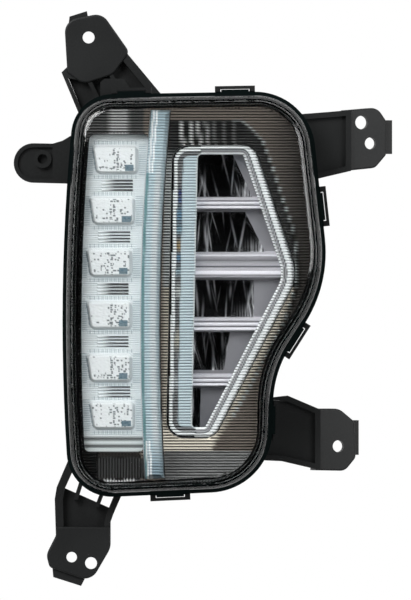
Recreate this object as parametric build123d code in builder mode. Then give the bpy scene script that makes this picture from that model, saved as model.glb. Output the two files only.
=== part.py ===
from build123d import *
import os
from math import atan, atan2, cos, degrees, radians, sin, sqrt, tan

# Auxiliary driving light. Millimetres, +Z up, the lamp shines along -Y. The origin is the upper left fixing
# hole, on the front face of its leg. "Depth" below is the distance in front of the lens parting plane.

# Lens outline, seen from the front, from the lens centre
lens_height = 222.4
top_left_reach = 66.0
top_right_reach = 62.7
left_bulge_reach = 72.8
left_bulge_drop = 3.0
right_bulge_margin = 26.9  # beyond the nose of the driving light window
right_bulge_rise = 6.0
waist_reach = 43.4
waist_drop = 42.4
bottom_right_reach = 41.8
bottom_left_reach = 68.7
top_tilt = 2.2
bottom_drop = 0.8
bottom_rise = 4.8
top_left_radius = 23.0
top_right_radius = 33.0
right_bulge_radius = 72.0
waist_radius = 60.0
bottom_right_radius = 35.0
bottom_left_radius = 25.0

# Lens shell and the rim channel that it is bonded into
lens_wall = 2.5
crown_height = 30.0
crown_radius = 700.0
crown_edge_radius = 8.0
foot_length = 7.0
flange_thickness = 2.4
lip_inset = 0.2
lip_thickness = 1.6
lip_drop = 0.3
foot_clearance = 0.5
inner_lip_thickness = 1.5
bead_thickness = 2.5
channel_floor = 2.5

# Housing tub
housing_wall = 2.4
housing_depth = 45.0
rear_wall = 3.0
rear_edge_radius = 3.0
ledge_depth = 14.0
ledge_width = 2.2
boss_wall = 2.2
rear_boss_height = 4.0

# Latch loops on the rim: the outline edge that each one is on, and its distance along that edge
latch_places = [(0, 88.0), (0, 31.0), (1, 64.0), (2, 36.0), (3, 26.5), (4, 55.5)]
latch_width = 22.0
latch_reach = 3.4
latch_bar = 1.6
latch_post = 3.0
latch_rear = 9.5
latch_front = 1.5
latch_root = 1.2
lug_clearance = 0.4

# Fixing legs
flange_setback = 30.0
upper_left_hole_inset = 7.15
upper_left_hole_rise = 31.2
leg_depth = 9.0
leg_plate_thickness = 3.0
leg_skirt = 2.5
leg_web = 2.5
leg_edge = 1.0
nut_room = 1.0
tongue_setback = 2.5
right_leg_yaw = 20.0
large_hole = 3.75
medium_hole = 3.3
small_hole = 2.9
arm_front = 3.0
arm_rear = 10.0
arm_wall = 3.0
arm_web = 2.5
wall_setback = 1.0
web_setback = 6.5

# Upper left leg, from its hole
upper_left_plate = [(-13.5, 9.2), (7.5, 13.5), (22.6, -8.0), (13.5, -20.5), (-3.0, -26.0), (-11.8, -19.5)]
upper_left_radii = [8.0, 8.0, 4.0, 8.0, 8.0, 1.0]
upper_left_holes = [((0, 0), medium_hole)]
upper_left_tongue = [(-11.0, 8.0), (-10.6, 11.6), (-1.0, 14.6), (0.0, 10.0)]
upper_left_walls = [
    [(-15.0, -19.3), (-10.0, -14.5), (-6.0, -23.5), (-11.3, -22.5), (3.8, -58.0), (1.2, -58.0)],
    [(21.5, -9.0), (50.0, -43.2), (46.6, -46.0), (18.1, -11.8)],
    [(-1.2, -23.5), (1.3, -23.5), (12.3, -45.0), (9.7, -45.0)],
    [(10.3, -19.0), (12.8, -19.0), (16.5, -26.0), (14.0, -26.0)],
]
upper_left_web = [(-12.0, -20.5), (9.0, -17.0), (19.0, -11.5), (47.0, -44.0), (2.8, -56.0)]
upper_left_block = [(6.6, -25.0), (9.0, -23.1), (19.5, -23.1), (23.0, -28.0), (23.0, -42.0), (6.6, -42.0)]
block_front = 14.0

# Lower left leg, from the lens's lower left corner
lower_left_plate = [
    (-8.3, -16.8), (-8.3, -21.8), (-13.6, -32.3), (-11.8, -39.3), (11.2, -47.3), (22.0, -28.8), (22.0, -16.8)
]
lower_left_radii = [0, 3.0, 7.0, 3.0, 8.0, 10.0, 0]
lower_left_tongue = [(-10.2, -39.8), (-9.7, -44.8), (5.7, -49.7), (7.7, -45.8)]
lower_left_walls = [
    [
        (5.2, 33.2), (-1.2, 20.5), (-7.8, 5.0), (-8.9, -1.6), (-8.3, -20.8),
        (-3.9, -20.8), (-4.4, -2.0), (-3.3, 4.2), (9.0, 31.5),
    ],
    [
        (22.0, -20.8), (22.0, -14.2), (23.6, -9.8), (32.7, 11.2),
        (28.2, 11.2), (20.1, -8.8), (18.5, -14.8), (18.5, -20.8),
    ],
    [(1.5, -2.0), (3.9, -2.0), (11.5, 22.0), (9.1, 22.0)],
    [(13.2, -6.0), (15.6, -6.0), (23.2, 14.0), (20.8, 14.0)],
]
lower_left_web = [(-6.0, -18.5), (-6.0, 5.5), (23.5, -7.5), (20.5, -18.5)]
lower_left_holes = [((0.5, -33.7), small_hole), ((11.2, -37.0), medium_hole)]

# Upper right leg: its arm from the lens's upper right corner, its plate from the bend line
upper_right_bend = 23.6
upper_right_arm = [(-16.7, -12.2), (11.6, -10.0), (23.6, -8.9), (23.6, -42.5), (5.0, -46.9), (-7.7, -49.2)]
upper_right_plate = [(-2.6, -9.0), (15.7, -7.4), (20.9, -14.7), (20.9, -33.7), (14.4, -40.9), (-2.6, -42.6)]
upper_right_radii = [0, 7.0, 2.0, 2.0, 5.0, 0]
upper_right_tongue = [(17.4, -14.4), (25.2, -14.4), (25.2, -33.1), (17.4, -33.1)]
upper_right_holes = [((6.2, -15.8), large_hole), ((11.4, -27.3), medium_hole)]

# Lower right leg, likewise from the lens's lower right corner
lower_right_bend = 27.5
lower_right_arm = [(-11.8, 53.2), (9.4, 55.6), (27.5, 47.9), (27.5, 14.4), (6.0, 19.4), (-11.8, 20.2)]
lower_right_plate = [(-2.6, 48.4), (11.3, 48.4), (20.4, 41.2), (21.1, 21.2), (14.8, 13.9), (-2.6, 14.3)]
lower_right_radii = [0, 8.0, 4.0, 4.0, 6.0, 0]
lower_right_tongue = [(17.4, 41.9), (23.6, 41.9), (23.6, 22.7), (17.4, 22.7)]
lower_right_holes = [((10.6, 27.6), medium_hole)]

# Locating tab, from the lens's upper left corner, and its pin
tab_height = 21.8
tab_centre = (-23.2, -38.3)
tab_root = [(-12.6, -27.6), (-7.2, -26.0), (-1.7, -22.7), (8.0, -19.0), (8.0, -50.0)]
tab_front = 8.0
tab_rim = 2.0
tab_rim_width = 2.2
tab_plate = 3.0
pin_place = (-18.2, -36.1)
pin_radius = 3.5
pin_length = 14.0
pin_chamfer = 1.2
tab_boss_radius = 5.0
tab_boss_core = 2.75
tab_boss_height = 1.0
tab_boss_core_depth = 4.0

# Reeded bezel
bezel_edge_clearance = 0.6
bezel_skirt = 1.2
bezel_skirt_clearance = 0.3
bezel_front = 11.5
bezel_plate = 2.5
reed_pitch = 1.5
reed_height = 0.6
opening_clearance = 0.4
snap_places = [(0, 60.0), (1, 45.0), (3, 24.5), (4, 80.0)]
snap_width = 8.0
snap_height = 2.4
snap_depth = 8.0
snap_reach = 1.1
snap_clearance = 0.2

# Daytime running light column, and the clear blade beside it
column_top_margin = 23.2
column_bottom_margin = 25.2
column_left_top = 57.8
column_left_middle = 62.2
column_left_bottom = 60.6
column_width = 32.2
column_radius = 3.0
cell_count = 6
pillow_width = 24.8
pillow_height = 16.5
pillow_radius = 3.0
pillow_edge = 2.0
pillow_front = 10.0
inner_lens_base = 2.0
divider_lines = 4
divider_line_width = 17.0
divider_line_height = 0.7
divider_line_pitch = 1.8
divider_line_rise = 1.2
tray_front = 3.0
tray_floor = 1.5
pocket_margin = 1.6
pocket_radius = 2.0
pocket_taper = 8.0
blade_width = 10.5
blade_front = 14.0
blade_ledge = 2.0
ledge_overlap = 1.5
blade_end_clearance = 0.5
rib_pitch = 1.7
rib_height = 0.7
drl_board_depth = 12.0
board_thickness = 1.6
board_inset = 2.0
led_size = 4.0
led_height = 1.5
led_hole_clearance = 1.0
board_screw_spread = 18.0
board_screw_rows = (0, -1)

# Driving light window, from the lens centre
window_top_margin = 34.2
window_bottom_margin = 38.6
window_left_top = 1.65
window_left_bottom = -1.65
window_top_right = 26.4
window_nose = 47.3
window_nose_top = 14.85
window_nose_bottom = 8.25
window_bottom_right = 5.5
window_nose_rounding = 0.86
window_radius = 2.0
left_bar = 13.8
right_bar = 7.1
top_bar = 5.0
bottom_bar = 5.5
frame_front = 9.0
frame_rib_pitch = 1.6
silver_front = -4.0
silver_plate = 2.0
silver_inset = 1.0
fin_clearance = 0.4
fin_rise = 5.0
fin_ridge_rise = 7.0
fin_ridge = 1.4
# Cups and fins from the top of the window down, by their share of the window's height
cup_rows = [42, 40, 37, 38, 39]
fin_rows = [15, 28, 15, 18]
# Right edge of each cup's mouth, at its top and at its bottom
cup_right_edges = [(20.9, 31.5), (27.5, 38.6), (32.4, 32.4), (19.2, 15.9), (3.2, 2.6)]
cup_least_width = 10.0
cup_depth = 28.0
cup_wall = 2.0
cup_back_width = 8.0
cup_back_height = 9.0
cup_back_share = 0.4
reflector_flange = 2.0
flange_margin = 3.0
ear_radius = 4.5
nose_ear_offset = 2.0
ear_offset = 6.0
cup_led_size = 3.2

# Driving light board, heat sink and rear wall opening
driving_board_depth = 39.0
driving_board_width = 26.0
driving_board_height = 148.0
driving_board_centre = (8.0, 2.0)
driving_board_radius = 3.0
driving_screw_inset = 3.5
opening_gap = 1.0
sink_margin = 11.0
sink_flange = 4.0
sink_fin_count = 9
sink_fin_thickness = 2.0
sink_fin_length = 17.5
gasket_thickness = 1.5
sink_screw_inset = 4.0

# Electronics bay behind the column
cover_width = 42.0
cover_height = 84.0
cover_centre = (-40.0, -4.0)
cover_margin = 6.0
cover_plate = 3.0
cover_radius = 5.0
bay_radius = 2.0
cover_screw_inset = 3.2
driver_board_margin = 1.0
driver_board_gap = 8.0
standoff_inset = 4.0
inductor_place = (-6.0, 16.0)
inductor_size = 10.0
inductor_height = 6.0
capacitor_places = [(7.0, 20.0), (7.0, 11.0)]
capacitor_radius = 3.0
capacitor_height = 8.0
chip_places = [(-6.0, 0.0), (4.0, 0.0), (-6.0, -10.0)]
chip_size = 5.0
chip_height = 1.4
socket_drop = 18.0
socket_width = 24.0
socket_height = 14.0
socket_wall = 1.6
socket_length = 17.0
socket_radius = 2.0
terminal_count = 4
terminal_pitch = 4.6
terminal_width = 2.8
terminal_thickness = 0.8
terminal_clearance = 0.1
terminal_reach = 11.0

# Breathers
breather_places = [(-42.0, 72.0), (-42.0, -76.0)]
breather_radius = 3.0
breather_bore = 1.5
breather_length = 6.0
cap_wall = 2.4
cap_crown = 3.0
cap_clearance = 0.1
cap_gap = 0.8

# Screws
screw_radius = 1.5
screw_clearance = 0.2
thread_clearance = 0.05
screw_tip_clearance = 0.5
screw_head_radius = 2.7
screw_head_height = 1.8
screw_length = 10.0
drive_width = 2.4
drive_slot = 0.7
drive_depth = 0.9
head_clearance = 0.4

os.makedirs("parts", exist_ok=True)

# Values worked out from the sizes above
half_height = lens_height / 2
right_bulge_reach = window_nose + right_bulge_margin
lens_x = top_left_reach - upper_left_hole_inset
lens_z = -(half_height + upper_left_hole_rise)
groove_outer = lip_inset + lip_thickness
flange_width = groove_outer + foot_clearance
groove_width = lens_wall + 2 * foot_clearance
cavity_inset = groove_outer + groove_width + inner_lip_thickness
groove_depth = foot_length + bead_thickness
rim_depth = groove_depth + channel_floor
cavity_depth = housing_depth - rear_wall
boss_radius = screw_radius + boss_wall
pilot_radius = screw_radius + thread_clearance
hole_radius = screw_radius + screw_clearance
bezel_inset = flange_width + lens_wall + bezel_edge_clearance
skirt_inset = cavity_inset + bezel_skirt_clearance
bezel_back = bezel_front - bezel_plate

lens_corners = [
    (-top_left_reach, half_height - top_tilt / 2),
    (top_right_reach, half_height + top_tilt / 2),
    (right_bulge_reach, right_bulge_rise),
    (waist_reach, -waist_drop),
    (bottom_right_reach, bottom_rise - bottom_drop - half_height),
    (-bottom_left_reach, -bottom_drop - half_height),
]
lens_radii = [
    top_left_radius,
    top_right_radius,
    right_bulge_radius,
    waist_radius,
    bottom_right_radius,
    bottom_left_radius,
]


def facing_plane(reach, rise, setback):
    return Plane(origin=(lens_x + reach, setback, lens_z + rise), x_dir=(1, 0, 0), z_dir=(0, -1, 0))


def front_plane(depth):
    return facing_plane(0, 0, -flange_setback - depth)


def yawed_plane(reach, rise):
    yaw = radians(right_leg_yaw)
    bend = (lens_x + reach, 0, lens_z + rise)
    return Plane(origin=bend, x_dir=(cos(yaw), sin(yaw), 0), z_dir=(sin(yaw), -cos(yaw), 0))


def lens_outline(depth, inset, ring=0):
    with BuildSketch(front_plane(depth)) as shape:
        with BuildLine():
            Polyline(*lens_corners)
            ThreePointArc(lens_corners[-1], (-left_bulge_reach, -left_bulge_drop), lens_corners[0])
        make_face()
        for corner, radius in zip(lens_corners, lens_radii):
            fillet(shape.vertices().sort_by_distance((*corner, 0))[0], radius=radius)
        if inset:
            offset(amount=-inset)
        if ring:
            offset(amount=-ring, mode=Mode.SUBTRACT)
    return shape.sketch


def outline(plane, corners, radii=0, inset=0):
    with BuildSketch(plane) as shape:
        with BuildLine():
            FilletPolyline(*corners, radius=radii, close=True)
        make_face()
        if inset:
            offset(amount=-inset, kind=Kind.INTERSECTION)
    return shape.sketch


def polygons(plane, corner_lists):
    with BuildSketch(plane) as shapes:
        for corners in corner_lists:
            with BuildLine():
                Polyline(*corners, close=True)
            make_face()
    return shapes.sketch


def dots(plane, places, radius):
    with BuildSketch(plane) as circles:
        with Locations(*places):
            Circle(radius)
    return circles.sketch


def plates(plane, places, width, height, radius=0):
    with BuildSketch(plane) as shapes:
        with Locations(*places):
            if radius:
                RectangleRounded(width, height, radius)
            else:
                Rectangle(width, height)
    return shapes.sketch


def corner_grid(centre, width, height, inset, rows=2):
    step = (height - 2 * inset) / (rows - 1)
    return [
        (centre[0] + side * (width / 2 - inset), centre[1] - height / 2 + inset + row * step)
        for side in (-1, 1)
        for row in range(rows)
    ]


def rim_blocks(depth, places, width, outer, inner):
    with BuildSketch(front_plane(depth)) as blocks:
        for edge, along in places:
            start = Vector(*lens_corners[edge])
            heading = (Vector(*lens_corners[edge + 1]) - start).normalized()
            outward = Vector(-heading.Y, heading.X)
            spot = start + heading * along + outward * ((outer + inner) / 2)
            with Locations((spot.X, spot.Y)):
                Rectangle(outer - inner, width, rotation=degrees(atan2(outward.Y, outward.X)))
    return blocks.sketch


def ribbed_block(front, height, pitch, back):
    span = max(lens_height, 2 * right_bulge_reach) + 2 * upper_left_hole_rise
    count = round(span / pitch)
    crests = [(front - height * (step % 2), (step - count) * pitch / 2) for step in range(2 * count + 1)]
    side = Plane(
        origin=(lens_x - span / 2, -flange_setback, lens_z), x_dir=(0, -1, 0), z_dir=(1, 0, 0)
    )
    with BuildPart() as block:
        with BuildSketch(side):
            with BuildLine():
                Polyline((back, crests[0][1]), *crests, (back, crests[-1][1]), close=True)
            make_face()
        extrude(amount=span)
    return block.part


def screws(plane, places):
    with BuildPart() as group:
        extrude(dots(plane, places, screw_head_radius), amount=screw_head_height)
        extrude(dots(plane, places, screw_radius), amount=-screw_length)
        slot_plane = plane.offset(screw_head_height)
        extrude(plates(slot_plane, places, drive_width, drive_slot), amount=-drive_depth, mode=Mode.SUBTRACT)
        extrude(plates(slot_plane, places, drive_slot, drive_width), amount=-drive_depth, mode=Mode.SUBTRACT)
    return group


def rear_plane(depth):
    return Plane(origin=(lens_x, -flange_setback - depth, lens_z), x_dir=(1, 0, 0), z_dir=(0, 1, 0))


def mirrored(places):
    return [(reach, -rise) for reach, rise in places]


# Column and blade
column_top = half_height - column_top_margin
column_bottom = column_bottom_margin - half_height
cell_pitch = (column_top - column_bottom) / cell_count
blade_top = half_height - top_tilt / 2 - skirt_inset - bezel_skirt - blade_end_clearance
blade_bottom = bottom_rise / 2 - bottom_drop + skirt_inset + bezel_skirt + blade_end_clearance - half_height


def column_edge(rise):
    top = rise * (rise - column_bottom) / (column_top * (column_top - column_bottom))
    middle = (rise - column_top) * (rise - column_bottom) / (column_top * column_bottom)
    bottom = rise * (rise - column_top) / (column_bottom * (column_bottom - column_top))
    return -(top * column_left_top + middle * column_left_middle + bottom * column_left_bottom)


def band(plane, shift, width, top, bottom, radius, growth=0):
    middle = (top + bottom) / 2
    left = [(column_edge(rise) + shift, rise) for rise in (bottom, middle, top)]
    right = [(reach + width, rise) for reach, rise in reversed(left)]
    with BuildSketch(plane) as shape:
        with BuildLine():
            ThreePointArc(*left)
            Line(left[-1], right[0])
            ThreePointArc(*right)
            Line(right[-1], left[0])
        make_face()
        if radius:
            fillet(shape.vertices(), radius=radius)
        if growth:
            offset(amount=growth)
    return shape.sketch


def column(depth, growth=0):
    return band(front_plane(depth), 0, column_width, column_top, column_bottom, column_radius, growth)


def blade(depth, growth=0):
    shift = column_width + opening_clearance
    return band(front_plane(depth), shift, blade_width, blade_top, blade_bottom, 0, growth)


def column_centre(rise):
    return column_edge(rise) + column_width / 2


cell_rises = [column_top - (row + 0.5) * cell_pitch for row in range(cell_count)]
cell_places = [(column_centre(rise), rise) for rise in cell_rises]
divider_rises = [column_top - row * cell_pitch for row in range(1, cell_count)]
drl_screw_places = [
    (column_centre(divider_rises[row]) + side * board_screw_spread / 2, divider_rises[row])
    for row in board_screw_rows
    for side in (-1, 1)
]

# Driving light window and the frame around it
window_top = half_height - window_top_margin
window_bottom = window_bottom_margin - half_height
window_height = window_top - window_bottom
upper_slope = (window_nose - window_top_right) / (window_top - window_nose_top)
lower_slope = (window_nose - window_bottom_right) / (window_nose_bottom - window_bottom)
upper_shift = right_bar * sqrt(1 + upper_slope**2)
lower_shift = right_bar * sqrt(1 + lower_slope**2)
frame_nose = window_nose + right_bar
frame_top = window_top + top_bar
frame_bottom = window_bottom - bottom_bar
window_corners = [
    (window_left_top, window_top),
    (window_top_right, window_top),
    (window_nose, window_nose_top),
    (window_nose, window_nose_bottom),
    (window_bottom_right, window_bottom),
    (window_left_bottom, window_bottom),
]
frame_corners = [
    (window_left_top - left_bar, frame_top),
    (window_top_right + upper_shift - upper_slope * top_bar, frame_top),
    (frame_nose, window_top - (frame_nose - window_top_right - upper_shift) / upper_slope),
    (frame_nose, window_bottom + (frame_nose - window_bottom_right - lower_shift) / lower_slope),
    (window_bottom_right + lower_shift - lower_slope * bottom_bar, frame_bottom),
    (window_left_bottom - left_bar, frame_bottom),
]


def window_radii(corners, corner):
    nose_turn = tan(atan(upper_slope) / 2) + tan(atan(lower_slope) / 2)
    nose = window_nose_rounding * (corners[2][1] - corners[3][1]) / nose_turn
    return [corner, corner, nose, nose, corner, corner]


def window(depth, inset=0):
    return outline(front_plane(depth), window_corners, window_radii(window_corners, window_radius), inset)


def frame(depth, inset=0):
    frame_radii = window_radii(frame_corners, window_radius + right_bar)
    return outline(front_plane(depth), frame_corners, frame_radii, inset)


def window_left(rise):
    share = (window_top - rise) / window_height
    return window_left_top + share * (window_left_bottom - window_left_top)


row_unit = window_height / (sum(cup_rows) + sum(fin_rows))
cup_spans = []
fin_spans = []
row_top = window_top
for cup_row, fin_row in zip(cup_rows, fin_rows + [0]):
    cup_spans.append((row_top, row_top - cup_row * row_unit))
    row_top -= cup_row * row_unit
    fin_spans.append((row_top, row_top - fin_row * row_unit))
    row_top -= fin_row * row_unit
fin_spans.pop()


def cup_mouth(span, right_edges, growth, least_width):
    top, bottom = span
    right_top = max(right_edges[0], window_left(top) + least_width)
    right_bottom = max(right_edges[1], window_left(bottom) + least_width)
    return [
        (window_left(top) - growth, top + growth),
        (right_top + growth, top + growth),
        (right_bottom + growth, bottom - growth),
        (window_left(bottom) - growth, bottom - growth),
    ]


def cup_back_centre(span, right_edges):
    corners = cup_mouth(span, right_edges, 0, cup_least_width)
    left = (corners[0][0] + corners[3][0]) / 2
    right = (corners[1][0] + corners[2][0]) / 2
    return (left + cup_back_share * (right - left), (span[0] + span[1]) / 2)


reflector_front = silver_front - silver_plate
reflector_rear = reflector_front - reflector_flange
cup_back = reflector_front - cup_depth
led_places = [cup_back_centre(span, edges) for span, edges in zip(cup_spans, cup_right_edges)]
nose_middle = (window_nose_top + window_nose_bottom) / 2
reflector_screw_places = [
    (frame_corners[0][0] + flange_margin, frame_top + ear_offset),
    (frame_corners[1][0] - ear_offset, frame_top + ear_offset),
    (frame_nose + nose_ear_offset, nose_middle),
    (frame_corners[4][0] - ear_offset, frame_bottom - ear_offset),
    (frame_corners[5][0] + ear_offset, frame_bottom - ear_offset),
]

# Boards, heat sink and rear cover
driving_board_back = driving_board_depth + board_thickness
opening_width = driving_board_width + 2 * opening_gap
opening_height = driving_board_height + 2 * opening_gap
sink_width = driving_board_width + 2 * sink_margin
sink_height = driving_board_height + 2 * sink_margin
sink_face = housing_depth + gasket_thickness
sink_back = sink_face + sink_flange
sink_screw_places = corner_grid(driving_board_centre, sink_width, sink_height, sink_screw_inset, rows=3)
driving_screw_places = corner_grid(
    driving_board_centre, driving_board_width, driving_board_height, driving_screw_inset
)
bay_width = cover_width - 2 * cover_margin
bay_height = cover_height - 2 * cover_margin
cover_face = housing_depth + gasket_thickness
cover_back = cover_face + cover_plate
cover_screw_places = corner_grid(cover_centre, cover_width, cover_height, cover_screw_inset)
driver_board_width = bay_width - 2 * driver_board_margin
driver_board_height = bay_height - 2 * driver_board_margin
driver_board_back = cover_face - driver_board_gap
driver_board_front = driver_board_back - board_thickness
driver_screw_places = corner_grid(cover_centre, driver_board_width, driver_board_height, standoff_inset)
socket_centre = (cover_centre[0], cover_centre[1] - socket_drop)
terminal_places = [
    (socket_centre[0] + (index - (terminal_count - 1) / 2) * terminal_pitch, socket_centre[1])
    for index in range(terminal_count)
]


def on_cover(places):
    return [(cover_centre[0] + reach, cover_centre[1] + rise) for reach, rise in places]


def leg_plate(plane, corners, radii, tongue, holes):
    with BuildPart() as leg:
        extrude(outline(plane, corners, radii), amount=-leg_depth)
        front = leg.faces().sort_by(Axis(plane.origin, plane.z_dir))[-1]
        fillet(front.edges(), radius=leg_edge)
        hollow = outline(plane.offset(-leg_plate_thickness), corners, radii, leg_skirt)
        extrude(hollow, amount=leg_plate_thickness - leg_depth, mode=Mode.SUBTRACT)
        extrude(outline(plane.offset(-tongue_setback), tongue), amount=-leg_plate_thickness)
        for place, radius in holes:
            extrude(dots(plane, [place], radius), amount=-leg_depth, mode=Mode.SUBTRACT)
            nut_seat = dots(plane.offset(-leg_plate_thickness), [place], radius + nut_room)
            extrude(nut_seat, amount=leg_plate_thickness - leg_depth, mode=Mode.SUBTRACT)
    return leg.part


def leg_arm(plane, corners):
    with BuildPart() as arm:
        extrude(outline(plane, corners), amount=-(arm_front + arm_rear))
        extrude(outline(plane, corners, 0, arm_wall), amount=-arm_front, mode=Mode.SUBTRACT)
        behind = plane.offset(-arm_front - arm_web)
        extrude(outline(behind, corners, 0, arm_wall), amount=arm_web - arm_rear, mode=Mode.SUBTRACT)
    return arm.part


upper_left_plane = Plane.XZ
lower_left_plane = facing_plane(-bottom_left_reach, -half_height, 0)
upper_right_plane = facing_plane(top_right_reach, half_height, -arm_front)
lower_right_plane = facing_plane(bottom_right_reach, -half_height, -arm_front)
upper_right_face = yawed_plane(top_right_reach + upper_right_bend, half_height)
lower_right_face = yawed_plane(bottom_right_reach + lower_right_bend, -half_height)
tab_plane = facing_plane(-top_left_reach, half_height, -tab_front)
legs = [
    leg_plate(upper_left_plane, upper_left_plate, upper_left_radii, upper_left_tongue, upper_left_holes),
    leg_plate(lower_left_plane, lower_left_plate, lower_left_radii, lower_left_tongue, lower_left_holes),
    leg_plate(upper_right_face, upper_right_plate, upper_right_radii, upper_right_tongue, upper_right_holes),
    leg_plate(lower_right_face, lower_right_plate, lower_right_radii, lower_right_tongue, lower_right_holes),
    leg_arm(upper_right_plane, upper_right_arm),
    leg_arm(lower_right_plane, lower_right_arm),
]

with BuildPart() as tab:
    tab_radius = tab_height / 2
    tab_back = tab_plane.offset(-tab_rim - tab_plate)
    with BuildSketch(tab_plane):
        with BuildLine():
            Polyline(
                (tab_centre[0], tab_centre[1] + tab_radius),
                *tab_root,
                (tab_centre[0], tab_centre[1] - tab_radius),
                close=True,
            )
        make_face()
        with Locations(tab_centre):
            Circle(tab_radius)
    extrude(amount=-tab_rim - tab_plate)
    with BuildSketch(tab_plane):
        with BuildLine():
            Polyline(
                (tab_centre[0], tab_centre[1] + tab_radius - tab_rim_width),
                (tab_root[0][0], tab_centre[1] + tab_radius - tab_rim_width),
                (tab_root[0][0], tab_centre[1] - tab_radius + tab_rim_width),
                (tab_centre[0], tab_centre[1] - tab_radius + tab_rim_width),
                close=True,
            )
        make_face()
        with Locations(tab_centre):
            Circle(tab_radius - tab_rim_width)
    extrude(amount=-tab_rim, mode=Mode.SUBTRACT)
    extrude(dots(tab_plane, [pin_place], tab_boss_radius), amount=tab_boss_height)
    extrude(dots(tab_plane, [pin_place], tab_boss_radius), amount=-tab_rim)
    extrude(dots(tab_back, [pin_place], pin_radius), amount=-pin_length)
    chamfer(tab.faces().sort_by(Axis.Y)[-1].edges(), length=pin_chamfer)
    boss_top = tab_plane.offset(tab_boss_height)
    extrude(dots(boss_top, [pin_place], tab_boss_core), amount=-tab_boss_core_depth, mode=Mode.SUBTRACT)

with BuildPart() as housing:
    # Rim channel and stepped tub
    extrude(lens_outline(-rim_depth, lip_inset), amount=rim_depth - lip_drop)
    extrude(lens_outline(-ledge_depth - housing_wall, cavity_inset - housing_wall), amount=rim_depth)
    tub_inset = cavity_inset + ledge_width - housing_wall
    extrude(lens_outline(-housing_depth, tub_inset), amount=housing_depth - ledge_depth)
    fillet(housing.faces().sort_by(Axis.Y)[-1].edges(), radius=rear_edge_radius)

    # Latch loops
    lug_width = latch_width - 2 * latch_post
    lug_reach = latch_reach - latch_bar
    latch_feet = rim_blocks(-latch_rear, latch_places, latch_width, latch_reach, -latch_root)
    extrude(latch_feet, amount=latch_rear - lip_drop)
    latch_tops = rim_blocks(-lip_drop, latch_places, latch_width, latch_reach, lug_clearance)
    extrude(latch_tops, amount=lip_drop + latch_front)
    latch_slots = rim_blocks(-latch_rear, latch_places, lug_width, lug_reach, lug_clearance)
    extrude(latch_slots, amount=latch_rear + latch_front, mode=Mode.SUBTRACT)

    # Legs and locating tab
    for leg in legs:
        add(leg)
    for plane, walls in ((upper_left_plane, upper_left_walls), (lower_left_plane, lower_left_walls)):
        extrude(polygons(plane.offset(-wall_setback), walls), amount=wall_setback - arm_rear)
    block = polygons(upper_left_plane.offset(block_front), [upper_left_block])
    extrude(block, amount=-block_front - arm_rear)
    for plane, web in ((upper_left_plane, upper_left_web), (lower_left_plane, lower_left_web)):
        extrude(polygons(plane.offset(-web_setback), [web]), amount=-leg_web)
    add(tab.part)

    # Cavity and rim groove
    extrude(
        lens_outline(-cavity_depth, cavity_inset + ledge_width),
        amount=cavity_depth - ledge_depth,
        mode=Mode.SUBTRACT,
    )
    extrude(lens_outline(-ledge_depth, cavity_inset), amount=ledge_depth, mode=Mode.SUBTRACT)
    extrude(lens_outline(-groove_depth, groove_outer, groove_width), amount=groove_depth, mode=Mode.SUBTRACT)

    # Screw bosses and openings of the rear wall
    boss_base = cavity_depth + rear_wall / 2
    boss_foot = front_plane(-boss_base)
    drl_board_back = drl_board_depth + board_thickness
    extrude(dots(boss_foot, drl_screw_places, boss_radius), amount=boss_base - drl_board_back)
    extrude(dots(boss_foot, reflector_screw_places, boss_radius), amount=boss_base + reflector_rear)
    rear_screw_places = sink_screw_places + cover_screw_places
    extrude(dots(boss_foot, rear_screw_places, boss_radius), amount=rear_wall / 2 + rear_boss_height)
    opening = plates(boss_foot, [driving_board_centre], opening_width, opening_height, driving_board_radius)
    extrude(opening, amount=cavity_depth, both=True, mode=Mode.SUBTRACT)
    bay = plates(boss_foot, [cover_centre], bay_width, bay_height, bay_radius)
    extrude(bay, amount=rear_wall + rear_boss_height, both=True, mode=Mode.SUBTRACT)
    drl_pilots = dots(front_plane(-drl_board_back), drl_screw_places, pilot_radius)
    extrude(drl_pilots, amount=-screw_length, mode=Mode.SUBTRACT)
    reflector_pilots = dots(front_plane(reflector_rear), reflector_screw_places, pilot_radius)
    extrude(reflector_pilots, amount=-screw_length, mode=Mode.SUBTRACT)
    rear_pilots = dots(front_plane(-housing_depth), rear_screw_places, pilot_radius)
    rear_pilot_depth = screw_length - gasket_thickness - cover_plate + screw_tip_clearance
    extrude(rear_pilots, amount=rear_pilot_depth, mode=Mode.SUBTRACT)

    # Snap barbs for the bezel, and the breather tubes
    barb_width = snap_width - 2 * snap_clearance
    barb_root = inner_lip_thickness / 2 - cavity_inset
    barbs = rim_blocks(-snap_depth, snap_places, barb_width, barb_root, -cavity_inset - snap_reach)
    extrude(barbs, amount=snap_height)
    extrude(dots(front_plane(-housing_depth), breather_places, breather_radius), amount=-breather_length)
    breather_bores = dots(front_plane(-cavity_depth), breather_places, breather_bore)
    extrude(breather_bores, amount=-rear_wall - breather_length, mode=Mode.SUBTRACT)
housing.part.label = "housing"
export_step(housing.part, "parts/housing.step")

with BuildPart() as lens_core:
    extrude(lens_outline(-foot_length, flange_width + lens_wall), amount=foot_length + crown_height)
    with Locations(front_plane(crown_height - crown_radius).origin):
        Sphere(crown_radius - lens_wall, mode=Mode.INTERSECT)
    fillet(lens_core.faces().sort_by(Axis.Y)[0].edges(), radius=crown_edge_radius - lens_wall)

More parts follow.
